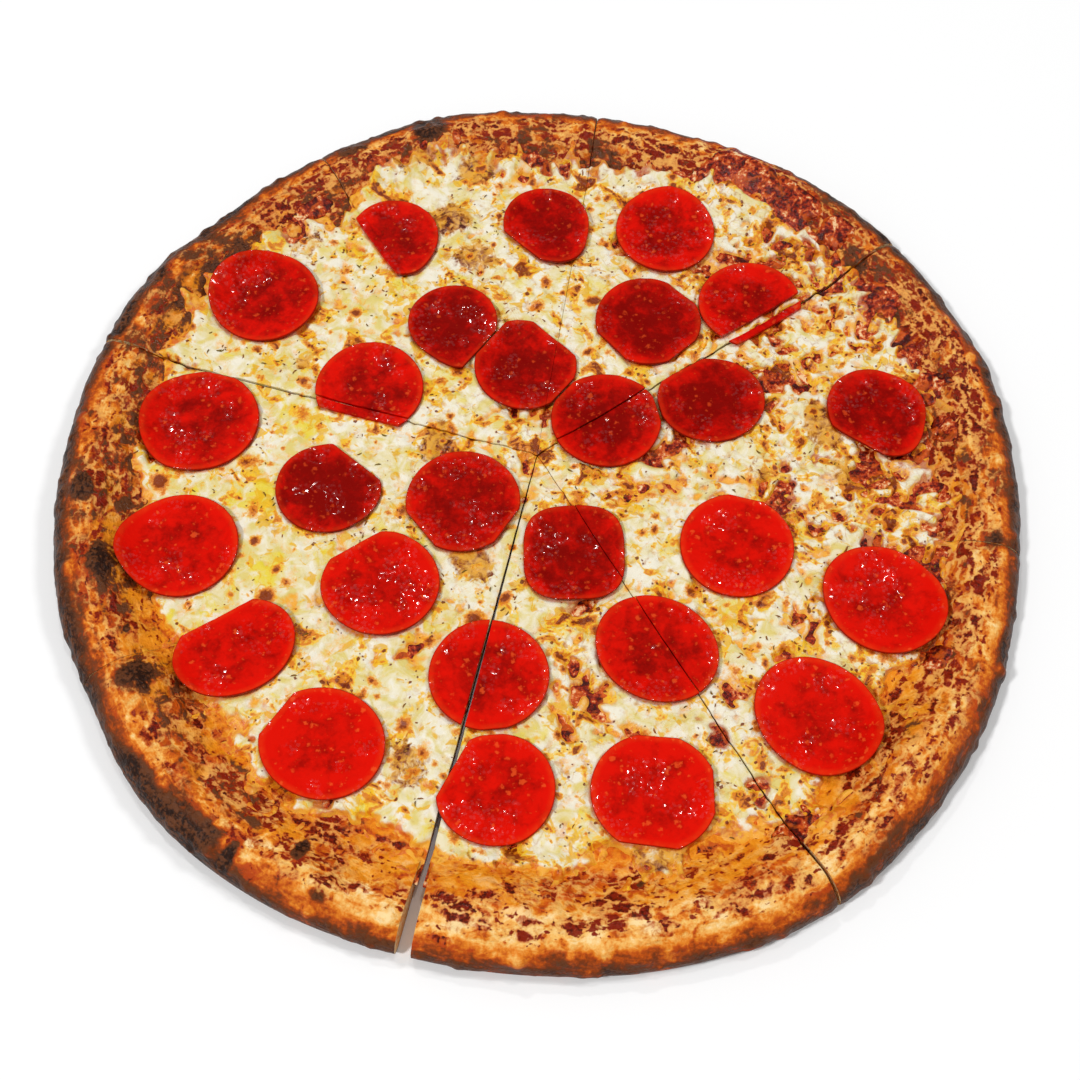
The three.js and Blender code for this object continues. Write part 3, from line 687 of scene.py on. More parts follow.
# ---- Meshes ----
class Shell:
    """Points and triangles of one piece, in millimetres."""

    def __init__(self):
        self.blocks = []
        self.triangles = []
        self.count = 0

    def add(self, points):
        """Adds points (n, 3) and returns their numbers."""
        self.blocks.append(points)
        numbers = np.arange(self.count, self.count + len(points))
        self.count += len(points)
        return numbers

    def strip(self, first, second, first_at=None, second_at=None, flip=False):
        """Fills the band between two lines of points with triangles."""
        n = len(first) - 1
        m = len(second) - 1
        first_at = np.linspace(0, 1, n + 1) if first_at is None else first_at
        second_at = np.linspace(0, 1, m + 1) if second_at is None else second_at
        order = np.argsort(np.concatenate([first_at[1:], second_at[1:]]), kind="stable")
        on_first = order < n
        i = np.concatenate([[0], np.cumsum(on_first)])[:-1]
        j = np.concatenate([[0], np.cumsum(~on_first)])[:-1]
        ahead = np.stack([first[i], first[np.minimum(i + 1, n)], second[j]], 1)
        behind = np.stack([second[np.minimum(j + 1, m)], second[j], first[i]], 1)
        made = np.where(on_first[:, None], ahead, behind)
        self.triangles.append(made[:, ::-1] if flip else made)

    def finished(self):
        """All points and all triangles that have three different corners."""
        points = np.concatenate(self.blocks)
        faces = np.concatenate(self.triangles)
        whole = ((faces[:, 0] != faces[:, 1]) & (faces[:, 1] != faces[:, 2])
                 & (faces[:, 2] != faces[:, 0]))
        return points, faces[whole]


def fan_rows(fan, insets, cell, inner_cell):
    """Rows of plan points of a slice from its outer edge to its tip.

    insets are functions of the edge's angle; after the last, rows close in on the tip.
    """
    tip, start, turn = fan
    rows = []

    def add(distance_at, size):
        middle = distance_at(np.array([start + turn / 2]))[0]
        columns = max(1, round(turn * middle / size))
        direction = start + turn * np.linspace(0, 1, columns + 1)
        distance = distance_at(direction)
        rows.append(tip + distance[:, None] * heading(direction))

    def from_edge(inset):
        def distance_at(direction):
            reach = reach_from(tip, direction)
            edge = tip + reach[:, None] * heading(direction)
            return reach - inset(np.arctan2(edge[:, 1], edge[:, 0]))
        return distance_at

    for inset in insets:
        add(from_edge(inset), cell)
    last = from_edge(insets[-1])
    steps = math.ceil(last(np.array([start + turn / 2]))[0] / inner_cell)
    for step in range(1, steps):
        add(lambda direction: last(direction) * (1 - step / steps), inner_cell)
    rows.append(tip[None])
    return rows


def lifted(row, height):
    """Plan points (n, 2) with a height given by a function of x and y."""
    return np.column_stack([row, height(row[:, 0], row[:, 1])])


def layer_shell(fan, top_rows, base_rows, top, base, shared_edge=False, levels=()):
    """A closed layer between two height functions, and which points are on its top, its cut
    sides and the edges of those.

    levels are shares of the way down the cut sides at which more rows of points are put in.
    """
    def share_in(places):
        away = places - fan[0]
        return 1 - np.linalg.norm(away, axis=1) / np.linalg.norm(away[0])

    shell = Shell()
    upper = [shell.add(lifted(row, top)) for row in top_rows]
    lower = [shell.add(lifted(row, base)) for row in base_rows[1 if shared_edge else 0:]]
    if shared_edge:
        lower = [upper[0]] + lower
    for rows, flip in ((upper, False), (lower, True)):
        for outer, inner in zip(rows, rows[1:]):
            shell.strip(outer, inner, flip=flip)
    if not shared_edge:
        shell.strip(lower[0], upper[0])
    top_count = sum(len(row) for row in top_rows)
    wall_start = shell.count
    tip_levels = None
    for side, flip in ((0, False), (-1, True)):
        high = np.array([row[side] for row in upper])
        low = np.array([row[side] for row in lower])
        high_place = np.array([row[side] for row in top_rows])
        low_place = np.array([row[side] for row in base_rows])
        high_at = share_in(high_place)
        low_at = share_in(low_place)
        above = high
        z_high = top(high_place[:, 0], high_place[:, 1])
        z_low = np.interp(high_at, low_at, base(low_place[:, 0], low_place[:, 1]))
        made_tips = []
        for place, share in enumerate(levels):
            points = np.column_stack([high_place, lerp(z_high, z_low, share)])
            numbers = shell.add(points)
            if shared_edge:
                numbers[0] = high[0]
            if tip_levels is not None:
                numbers[-1] = tip_levels[place]
            made_tips.append(numbers[-1])
            shell.strip(above, numbers, high_at, high_at, flip)
            above = numbers
        tip_levels = made_tips
        shell.strip(above, low, high_at, low_at, flip)
    points, faces = shell.finished()
    on_top = np.arange(len(points)) < top_count
    on_wall = np.arange(len(points)) >= wall_start
    edge = np.zeros(len(points), bool)
    for rows in (upper, lower):
        for row in rows:
            edge[[row[0], row[-1]]] = True
    return points, faces, on_top, on_wall, edge


def without_strays(points, faces, *flags):
    """Drops the points that no triangle uses."""
    used = np.zeros(len(points), bool)
    used[faces.ravel()] = True
    numbers = np.cumsum(used) - 1
    return (points[used], numbers[faces], *[flag[used] for flag in flags])


def point_normals(points, faces):
    """Unit normals of the points, averaged over their triangles."""
    a, b, c = (points[faces[:, k]] for k in range(3))
    across = np.cross(b - a, c - a)
    total = np.zeros_like(points)
    for corner in range(3):
        np.add.at(total, faces[:, corner], across)
    return total / np.clip(np.linalg.norm(total, axis=1), 1e-9, None)[:, None]


def make_piece(name, points, faces, attributes, finish, node, sharp=None):
    """A mesh object in metres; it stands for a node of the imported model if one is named."""
    mesh = bpy.data.meshes.new(name)
    mesh.vertices.add(len(points))
    mesh.vertices.foreach_set("co", (points * MM).astype(np.float32).ravel())
    mesh.loops.add(faces.size)
    mesh.loops.foreach_set("vertex_index", faces.astype(np.int32).ravel())
    mesh.polygons.add(len(faces))
    mesh.polygons.foreach_set("loop_start", np.arange(0, faces.size, 3, dtype=np.int32))
    mesh.update(calc_edges=True)
    mesh.polygons.foreach_set("use_smooth", np.ones(len(faces), bool))
    for key, values in attributes.items():
        kind = "FLOAT_VECTOR" if values.ndim == 2 else "FLOAT"
        layer = mesh.attributes.new(key, kind, "POINT")
        layer.data.foreach_set("vector" if values.ndim == 2 else "value",
                               values.astype(np.float32).ravel())
    if sharp is not None:
        ends = np.zeros(2 * len(mesh.edges), np.int32)
        mesh.edges.foreach_get("vertices", ends)
        both = sharp[ends.reshape(-1, 2)].all(1)
        layer = mesh.attributes.new("sharp_edge", "BOOLEAN", "EDGE")
        layer.data.foreach_set("value", both)
    mesh.materials.append(finish)
    piece = bpy.data.objects.new(name, mesh)
    bpy.context.scene.collection.objects.link(piece)
    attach(piece, BODY)
    if node:
        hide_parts(node)
    return piece


# ---- Shader helpers ----
def paint(red, green, blue):
    """A colour given as 0 to 255 on screen, in the linear light that shaders use."""
    share = np.array([red, green, blue]) / 255
    linear = np.where(share <= 0.04045, share / 12.92, ((share + 0.055) / 1.055) ** 2.4)
    return tuple(float(value) for value in linear)


class Wire:
    """A node's output that adds Math nodes when it is used in a Python expression."""

    def __init__(self, finish, socket):
        self.finish = finish
        self.socket = socket

    def __add__(self, other):
        return self.finish.maths("ADD", self, other)

    def __radd__(self, other):
        return self.finish.maths("ADD", other, self)

    def __sub__(self, other):
        return self.finish.maths("SUBTRACT", self, other)

    def __rsub__(self, other):
        return self.finish.maths("SUBTRACT", other, self)

    def __mul__(self, other):
        return self.finish.maths("MULTIPLY", self, other)

    def __rmul__(self, other):
        return self.finish.maths("MULTIPLY", other, self)

    def at_most(self, other):
        """The smaller of this and another value."""
        return self.finish.maths("MINIMUM", self, other)

    def at_least(self, other):
        """The larger of this and another value."""
        return self.finish.maths("MAXIMUM", self, other)

    def clamped(self):
        """This value kept between 0 and 1."""
        return self.at_least(0).at_most(1)

    def step(self, low, high):
        """An even S from 0 at low to 1 at high."""
        return self.finish.node(
            "ShaderNodeMapRange", {"interpolation_type": "SMOOTHSTEP"},
            {"Value": self, "From Min": low, "From Max": high}, "Result")


class Finish:
    """One material: its Principled shader and the nodes that feed it."""

    def __init__(self, name, **uniform):
        self.material = bpy.data.materials.new(name)
        self.material.use_nodes = True
        self.tree = self.material.node_tree
        self.shader = self.tree.nodes["Principled BSDF"]
        for socket, value in uniform.items():
            self.feed(self.shader.inputs[socket.replace("_", " ")], value)
        self.place = self.vector("SCALE", self.node("ShaderNodeTexCoord", output="Object"),
                                 scale=1 / MM)

    def feed(self, socket, value):
        """Links a wire to a socket, or sets the socket's own value."""
        if isinstance(value, Wire):
            self.tree.links.new(value.socket, socket)
        elif socket.type == "RGBA":
            socket.default_value = (*value[:3], 1)
        else:
            socket.default_value = value

    def node(self, kind, settings=None, inputs=None, output=0):
        """A node of a type, its settings made first, then its sockets; returns one output."""
        made = self.tree.nodes.new(kind)
        for setting, value in (settings or {}).items():
            if setting == "stops":
                self.set_stops(made.color_ramp, value)
            else:
                setattr(made, setting, value)
        for socket, value in (inputs or {}).items():
            self.feed(made.inputs[socket], value)
        return Wire(self, made.outputs[output])

    @staticmethod
    def set_stops(ramp, stops):
        """Sets a ramp's stops, each a place and a colour."""
        while len(ramp.elements) < len(stops):
            ramp.elements.new(1)
        for element, (place, colour) in zip(ramp.elements, stops):
            element.position = place
            element.color = (*colour[:3], 1)

    def maths(self, operation, first, second):
        """A Math node of two values."""
        return self.node("ShaderNodeMath", {"operation": operation}, {0: first, 1: second})

    def vector(self, operation, first, second=None, scale=None):
        """A Vector Math node."""
        inputs = {0: first}
        if second is not None:
            inputs[1] = second
        if scale is not None:
            inputs["Scale"] = scale
        return self.node("ShaderNodeVectorMath", {"operation": operation}, inputs)

    def mix(self, share, first, second):
        """A colour a share of the way from first to second."""
        return self.node("ShaderNodeMix", {"data_type": "RGBA"},
                         {0: share, 6: first, 7: second}, 2)

    def cover(self, base, *covers):
        """A colour with others laid over it in turn, each given as its share and itself."""
        for share, colour in covers:
            base = self.mix(share, base, colour)
        return base

    def ramp(self, value, *stops):
        """A colour from a ramp of places and colours."""
        return self.node("ShaderNodeValToRGB", {"stops": stops}, {"Fac": value}, "Color")

    def attribute(self, name, output="Fac"):
        """What the mesh's points hold under a name, as a value or as a Vector."""
        return self.node("ShaderNodeAttribute", {"attribute_name": name}, output=output)

    def noise(self, size, detail=3, place=None, distortion=0, roughness=0.55):
        """Noise of about 0 to 1 with lumps size millimetres across."""
        return self.node("ShaderNodeTexNoise", {"normalize": True},
                         {"Vector": place or self.place, "Scale": 1 / size, "Detail": detail,
                          "Roughness": roughness, "Distortion": distortion})

    def cells(self, size, feature="F1", place=None, output="Distance"):
        """Voronoi cells size millimetres across."""
        return self.node("ShaderNodeTexVoronoi", {"feature": feature},
                         {"Vector": place or self.place, "Scale": 1 / size}, output)

    def pushed(self, place, reach, size, detail):
        """A place pushed about by up to reach millimetres, so that cells get uneven edges."""
        push = self.node("ShaderNodeTexNoise", None,
                         {"Vector": self.place, "Scale": 1 / size, "Detail": detail}, "Color")
        return self.vector("ADD", place, self.vector("SCALE", push, scale=reach))

    def bump(self, height, depth, strength=1):
        """A normal from a height of 0 to 1 and its depth in millimetres."""
        return self.node("ShaderNodeBump", None,
                         {"Strength": strength, "Distance": depth * MM, "Height": height}, "Normal")

    def done(self, **varying):
        """Feeds the shader's varying sockets and returns the material."""
        for socket, value in varying.items():
            self.feed(self.shader.inputs[socket.replace("_", " ")], value)
        return self.material


# ---- Sizes and colours that a user would change ----
def colour_of(name, description, red, green, blue):
    """A colour property whose default is given as 0 to 255 on screen."""
    return bpy.props.FloatVectorProperty(
        name=name, description=description, default=paint(red, green, blue), size=3,
        min=0, max=1, subtype="COLOR")


def cell_of(name, default):
    """A property for the length of a piece's triangles."""
    return bpy.props.FloatProperty(
        name=name, description="Length of the triangles", default=default, min=0.3)


def count_of(name, description, default):
    """A property for how many there are of something."""
    return bpy.props.IntProperty(name=name, description=description, default=default, min=0)


def span_of(name, description, default):
    """A property for the least and the greatest of a size."""
    return bpy.props.FloatVectorProperty(
        name=name, description=description, default=default, size=2)


class PizzaSizes(bpy.types.PropertyGroup):
    """Sizes in millimetres, and how many there are of the small things."""

    seed: count_of("Seed", "Start of the random draws", 7)
    crust_cell: cell_of("Crust cell", 0.95)
    cheese_cell: cell_of("Cheese cell", 0.8)
    sauce_cell: cell_of("Sauce cell", 1.2)
    pepperoni_cell: cell_of("Pepperoni cell", 0.62)
    strands: count_of("Cheese shreds", "How many shreds of cheese melted together", 5600)
    strand_half_length: span_of("Shred half length", "Shortest and longest", (1.0, 4.6))
    strand_half_width: span_of("Shred half width", "Narrowest and widest", (1.2, 2.4))
    toast_spots: count_of("Toasted spots", "How many browned spots the cheese is given", 1500)
    blisters: count_of("Blisters", "How many small domes the rim's skin has", 520)
    herb_flakes: count_of("Herb flakes", "How many dried flakes lie on the cheese", 300)


class PizzaColours(bpy.types.PropertyGroup):
    """Colours of the baked surfaces."""

    # The ridge's paleness is partly this dough and partly a painted highlight.
    crust_pale: colour_of("Pale crust", "Least baked dough on the ridge", 244, 184, 96)
    crust_gold: colour_of("Golden crust", "Evenly baked dough", 228, 130, 34)
    crust_orange: colour_of("Orange crust", "Dough soaked with orange oil", 190, 80, 14)
    crust_brown: colour_of("Brown crust", "Well baked dough on the outside", 134, 58, 18)
    crust_dark: colour_of("Dark crust", "Underside and burnt places", 84, 42, 18)
    crust_black: colour_of("Charred crust", "Charred bubbles", 40, 20, 11)
    crumb: colour_of("Crumb", "Inside of the dough where it is cut", 226, 200, 150)
    baked_sauce: colour_of("Baked sauce", "Sauce dried on the crust", 130, 26, 6)
    sauce_dark: colour_of("Dark sauce", "Thick sauce", 116, 22, 5)
    sauce_bright: colour_of("Bright sauce", "Sauce with oil in it", 178, 54, 14)
    cheese_white: colour_of("White cheese", "Thick melted cheese", 238, 231, 210)
    cheese_cream: colour_of("Cream cheese", "Melted cheese", 222, 202, 118)
    cheese_yellow: colour_of("Yellow cheese", "The yellower of the two cheeses", 242, 190, 26)
    cheese_toasted: colour_of("Toasted cheese", "Orange rings of browned spots", 214, 112, 18)
    cheese_brown: colour_of("Browned cheese", "Middles of browned spots", 122, 40, 8)
    cheese_thin: colour_of("Thin cheese", "Cheese that the sauce shows through", 192, 112, 62)
    pepperoni_red: colour_of("Pepperoni", "Oily cured meat", 220, 12, 2)
    pepperoni_dark: colour_of("Dark pepperoni", "Where the meat has darkened", 126, 0, 0)
    pepperoni_fat: colour_of("Fat", "Specks of fat in the meat", 240, 84, 32)
    herb: colour_of("Herb", "Dried herb flakes", 122, 98, 32)
    floor: colour_of("Floor", "Plain floor", 250, 250, 250)


# ---- Finishes ----
def crust_finish():
    """Baked dough: golden ridge, brown outside, flecked inner slope, char and cut crumb."""
    colours = bpy.context.scene.pizza_colours
    crust = Finish("baked_crust", Specular_IOR_Level=0.1)
    inset = crust.attribute("inset")
    skin = crust.attribute("skin", "Vector")
    red = crust.attribute("red")
    wall = crust.attribute("wall")
    relief = crust.attribute("relief")
    broad = crust.noise(16, 3) - 0.5
    patchy = crust.noise(6, 3, distortion=0.8, roughness=0.62) - 0.5
    streaky = crust.noise(4.5, 3, crust.vector("MULTIPLY", skin, (0.45, 1, 1)), 0.5) - 0.5
    fine = crust.noise(1.5, 3) - 0.5
    place = inset + patchy * 9 + streaky * 5
    slope = place.step(15, 24)

    outer = 1 - place.step(-1, 9)
    # The bottom edge of the rim, where it meets the floor, is made darker: partly burnt, partly
    # painted shade.
    lip = 1 - (inset + patchy * 5).step(-0.5, 3.5)
    # The ridge is made paler: partly less baked dough, partly a painted highlight along its top.
    ridge = place.step(5, 10) * (1 - place.step(15, 23))
    level = crust.attribute("bake") + outer * 0.36 + lip * 0.16 - ridge * 0.2 + broad * 0.9
    # Raised blisters and bumps are made paler on top: partly their paler skin, partly a painted
    # highlight.
    level = level + patchy + streaky + fine * 0.5 - relief * 0.2
    level = level + crust.attribute("charred") * 0.6
    base = crust.ramp(level.clamped(), (0.0, paint(252, 218, 156)), (0.2, colours.crust_pale),
                      (0.38, colours.crust_gold), (0.55, colours.crust_orange),
                      (0.7, colours.crust_brown), (0.86, colours.crust_dark),
                      (1.0, colours.crust_black))
    oily = crust.mix((broad + patchy).step(-0.15, 0.2), paint(238, 150, 22), paint(204, 82, 6))
    oily = crust.mix((red + broad).step(0.45, 0.9) * 0.7, oily, paint(196, 92, 26))
    base = crust.mix(slope * (patchy + 0.75).clamped() * (1 - level.step(0.62, 0.85)), base, oily)

    warp = crust.pushed(crust.vector("MULTIPLY", skin, (0.6, 1, 1)), 5.0, 4, 2)
    net = crust.cells(5.0, "DISTANCE_TO_EDGE", warp)
    shade = crust.node("ShaderNodeSeparateColor", None,
                       {"Color": crust.cells(5.0, "F1", warp, "Color")}, "Red")
    presence = red + shade * 1.2 + patchy * 1.1 + broad * 0.5 + fine * 0.3 - 1.22
    gaps = net + fine * 0.4 + patchy * 0.45
    fleck = presence.step(0, 0.2) * gaps.step(0.05, 0.26)
    small = 0.24 - crust.cells(2.9, "F1", warp) + red * 0.32 + patchy * 1.1 + fine * 0.4
    small_fleck = small.step(0, 0.3) * red.step(0.05, 0.3)
    fleck = fleck.at_least(small_fleck * 0.9)
    warm = (presence + 0.22).step(0, 0.3) * (gaps.step(-0.05, 0.12) * 0.7 + 0.3)
    warm = warm.at_least(small_fleck)
    unburnt = 1 - level.step(0.72, 0.9)
    base = crust.mix(warm * unburnt * 0.85, base, paint(184, 66, 14))
    strand = (1 - gaps.step(0.0, 0.2)) * (red + broad * 2).step(0.1, 0.6)
    base = crust.mix(strand * 0.5 * (1 - level.step(0.55, 0.8)), base, paint(244, 194, 106))
    flecks = crust.mix((shade + fine * 2.5).step(0.6, 1.3), colours.baked_sauce,
                       paint(60, 9, 4))
    base = crust.mix(fleck.step(0.1, 0.8) * unburnt * 0.95, base, flecks)

    burnt = level.step(0.7, 0.95)
    ashen = (fine + streaky * 0.8 + patchy * 0.5).step(-0.1, 0.16)
    base = crust.mix(burnt * ashen * 0.55, base, paint(126, 72, 40))

    bottom = crust.mix(crust.noise(9, 4).step(0.4, 0.62), colours.crust_brown, colours.crust_dark)
    base = crust.mix(crust.attribute("under"), base, bottom)
    bread = crust.mix((fine + patchy * 0.5).step(-0.2, 0.08), colours.crust_gold, colours.crumb)
    base = crust.mix(wall * 0.9, base, bread)

    roughness = 0.55 - fleck * 0.25 - burnt * 0.15 - slope * 0.12 + fine * 0.2
    height = patchy * 0.8 + fine * (wall + 0.5) + streaky * 0.8
    return crust.done(Base_Color=base, Roughness=roughness, Normal=crust.bump(height, 1.2, 0.9))


def sauce_finish():
    """Thick sauce, dried dark on top, with oil and scraps of melted cheese in it, and painted
    glints on its lumps.
    """
    colours = bpy.context.scene.pizza_colours
    sauce = Finish("baked_sauce", Specular_IOR_Level=0.15)
    lumps = sauce.noise(5, 4, distortion=0.8)
    fine = sauce.noise(1.5, 3)
    level = lumps * 2.2 + fine * 1.2 - 1.2
    # The highest lumps, which the bump also raises, turn pale: partly scraps of melted cheese,
    # partly painted glints.
    base = sauce.ramp(level.clamped(), (0.2, paint(62, 8, 3)), (0.42, colours.sauce_dark),
                      (0.6, colours.sauce_bright), (0.76, paint(214, 118, 58)),
                      (0.9, paint(240, 200, 150)))
    orange = sauce.noise(7, 3, distortion=1).step(0.5, 0.64)
    base = sauce.mix(orange * 0.6, base, paint(212, 92, 18))
    normal = sauce.bump(fine * 0.5 + lumps, 0.9, 0.8)
    return sauce.done(Base_Color=base, Roughness=0.46 - fine * 0.3, Normal=normal)


def cheese_finish():
    """Two cheeses melted together, toasted in spots, oily by the pepperoni."""
    colours = bpy.context.scene.pizza_colours
    cheese = Finish("melted_cheese", Specular_IOR_Level=0.2)
    thick = cheese.attribute("thick")
    crease = cheese.attribute("crease")
    fringe = cheese.attribute("fringe")
    broad = cheese.noise(11, 3, distortion=0.5) - 0.5
    medium = cheese.noise(3.2, 3, distortion=0.8) - 0.5
    fine = cheese.noise(1.1, 3) - 0.5
    busy = cheese.attribute("busy")
    islands = cheese.noise(9, 3, distortion=1.0) - 0.5
    base = cheese.mix((cheese.attribute("tone") * 0.25 + 0.45 + islands * 4 + busy * 0.4).clamped(),
                      colours.cheese_cream, colours.cheese_white)
    yellowness = cheese.attribute("yellow") * 0.6 + medium * 1.3 + cheese.attribute("gold") * 0.6
    yellowness = (yellowness + broad * 0.8).step(0.15, 0.75) * (1 - busy * 0.6)
    base = cheese.mix(yellowness * 0.9, base, paint(230, 206, 44))
    drops = cheese.noise(5.5, 2, distortion=0.8) - 0.5 + cheese.attribute("gold") * 0.12
    base = cheese.mix((drops + broad * 0.4).step(0.08, 0.16) * 0.85, base, paint(228, 174, 4))
    warp = cheese.pushed(cheese.place, 3.0, 3, 1)
    broken = (broad * 3 + medium * 1.5 + busy * 0.9 - 0.15).clamped()
    # Darker olive gold in the creases between the shreds: painted shade.
    base = cheese.mix((crease * 3 + medium * 0.8 + fine * 0.5).step(0.25, 0.9) * broken, base,
                      paint(196, 136, 40))
    channel = 1 - (cheese.cells(6.4, "DISTANCE_TO_EDGE", warp) + fine * 0.2).step(-0.02, 0.09)
    base = cheese.mix(channel * broken * 0.8, base, paint(172, 104, 30))

    level = thick + medium * 1.8 + fine * 0.8
    melted = cheese.mix((broad + medium).step(-0.12, 0.18), paint(238, 166, 40),
                        paint(214, 98, 14))
    sauced = cheese.mix((medium + fine).step(-0.1, 0.15), colours.cheese_thin,
                        colours.sauce_bright)
    through = cheese.attribute("showing") + busy * 0.5 + medium * 1.5 + broad * 1.2
    base = cheese.mix((1 - level.step(0.5, 1.5)) * 0.92, base,
                      cheese.mix(through.step(0.25, 0.65), melted, sauced))
    butter = cheese.noise(11, 3, distortion=0.9) - 0.5 + medium * 0.35 + broad * 0.4
    butter = butter + (busy - 0.5) * 0.14
    base = cheese.cover(base, (butter.step(0.06, 0.11) * 0.8, colours.cheese_yellow),
                        (butter.step(0.12, 0.17) * 0.85, colours.cheese_toasted),
                        (butter.step(0.19, 0.25) * 0.9, colours.cheese_brown))

    browned = cheese.attribute("browned") + medium * 1.2 + broad * 1.2 + fine * 0.3
    golden = cheese.mix((islands + medium).step(-0.1, 0.16), paint(222, 158, 52),
                        paint(150, 76, 18))
    base = cheese.mix(browned.step(0.3, 0.7) * 0.92, base, golden)
    scorched = (islands + medium * 0.8 + fine * 0.3).step(0.13, 0.2)
    base = cheese.mix(scorched * browned.step(0.45, 0.7), base, paint(80, 22, 6))
    ring = cheese.attribute("toast") + fine * 0.7 + medium * 0.8
    base = cheese.cover(base, (ring.step(0.1, 0.32) * 0.75, paint(238, 172, 36)),
                        (ring.step(0.28, 0.48) * 0.85, colours.cheese_toasted),
                        (ring.step(0.5, 0.78) * 0.9, colours.cheese_brown))
    speck = (0.1 - cheese.cells(3.4) + medium * 0.8 + broad * 0.9 + busy * 0.08).step(0, 0.08)
    base = cheese.mix(speck * 0.9, base, paint(112, 36, 8))
    base = cheese.mix((cheese.attribute("oil") + medium * 1.2).step(0.45, 1.05) * 0.6, base,
                      paint(222, 96, 20))
    edge = (fringe + medium * 1.4 + fine * 0.5).step(0.45, 1.1) * (1 - level.step(0.7, 1.5))
    base = cheese.mix(edge * 0.7, base, melted)
    roughness = 0.32 + fine * 0.35
    normal = cheese.bump(fine * 0.5 + medium, 0.5, 0.8)
    return cheese.done(Base_Color=base, Roughness=roughness, Normal=normal)


def pepperoni_finish():
    """Cured meat shining with oil, flecked with fat."""
    colours = bpy.context.scene.pizza_colours
    meat = Finish("pepperoni", Specular_IOR_Level=0.12, Specular_Tint=paint(255, 150, 120),
                  Coat_Roughness=0.11, Coat_IOR=1.5)
    share = meat.attribute("share")
    tone = meat.attribute("tone")
    patchy = meat.noise(9, 3, distortion=0.4) - 0.5
    medium = meat.noise(3.2, 3, distortion=0.5) - 0.5
    fine = meat.noise(1.2, 3) - 0.5
    middle = 1 - share.step(0.3, 0.95)
    dark = (tone * 0.8 + middle * 0.35 + patchy * 1.6 + medium * 0.8 + fine * 0.4).step(0, 1.05)
    base = meat.mix(dark, colours.pepperoni_red, colours.pepperoni_dark)
    # The edge, where it curls up, is made brighter orange red: partly crisper meat, partly a
    # painted highlight.
    rim = share.step(0.86, 0.97) * (0.6 + medium * 2)
    base = meat.mix((rim * (0.75 - tone * 0.4)).clamped(), base, paint(228, 58, 16))
    fat = (0.24 - meat.cells(4.0) + fine * 0.9 + medium * 0.7 + patchy * 0.7).step(0, 0.26)
    small_fat = (0.14 - meat.cells(2.1) + fine * 0.7 + patchy * 0.8).step(0, 0.2)
    fat = fat.at_least(small_fat * 0.6)
    base = meat.mix(fat * (0.7 - tone * 0.4), base, colours.pepperoni_fat)
    # A thin dark line round the outermost edge: partly the darker cut edge, partly a painted
    # shadow.
    base = meat.mix(share.step(0.975, 1) * 0.6, base, paint(92, 0, 0))
    glossy = (meat.attribute("glossy") + medium * 0.8).step(0.3, 0.8)
    drops = (0.46 - meat.cells(1.7) + fine * 0.8).step(0, 0.12)
    normal = meat.bump(medium * 0.4 + fine * 0.4, 0.35, 0.9)
    return meat.done(Base_Color=base, Roughness=0.45 - glossy * 0.15,
                     Coat_Weight=drops * glossy, Normal=normal)


def herb_finish():
    """Dry crumbled leaves."""
    colours = bpy.context.scene.pizza_colours
    herb = Finish("dried_herbs", Roughness=0.8, Specular_IOR_Level=0.2)
    shade = herb.noise(6, 2).step(0.35, 0.65)
    return herb.done(Base_Color=herb.mix(shade, colours.herb, paint(150, 80, 24)))


def floor_finish():
    """A plain pale surface."""
    colours = bpy.context.scene.pizza_colours
    floor = Finish("floor", Roughness=0.9, Specular_IOR_Level=0.0)
    return floor.done(Base_Color=colours.floor)


# ---- Operators ----
@functools.lru_cache(maxsize=None)
def shared_maps():
    """The toppings' maps, made once and used by all operators."""
    return Toppings()


def steady(value):
    """A function that gives one inset at every angle."""
    return lambda angle: np.full_like(angle, value)


def crust_relief(toppings, points, inset, on_top):
    """How far the crust's skin stands out, and how high its blisters and outer bumps are."""
    on_rim = 1 - smooth(36, 46, inset)
    lumps = 0.55 * noise(points, 19, 101) + 0.4 * rough(points, 8, 103, 3)
    charred = toppings.charred.at(points[:, 0], points[:, 1])
    crackle = 0.4 * charred * noise(points, 2.2, 107)
    domes = toppings.domes.at(points[:, 0], points[:, 1]) * on_top
    outside = np.clip(noise(points, 4.5, 109) - 0.25, 0, None) * (1 - smooth(3, 10, inset))
    return on_rim * (lumps + crackle + domes + 1.1 * outside), domes + outside


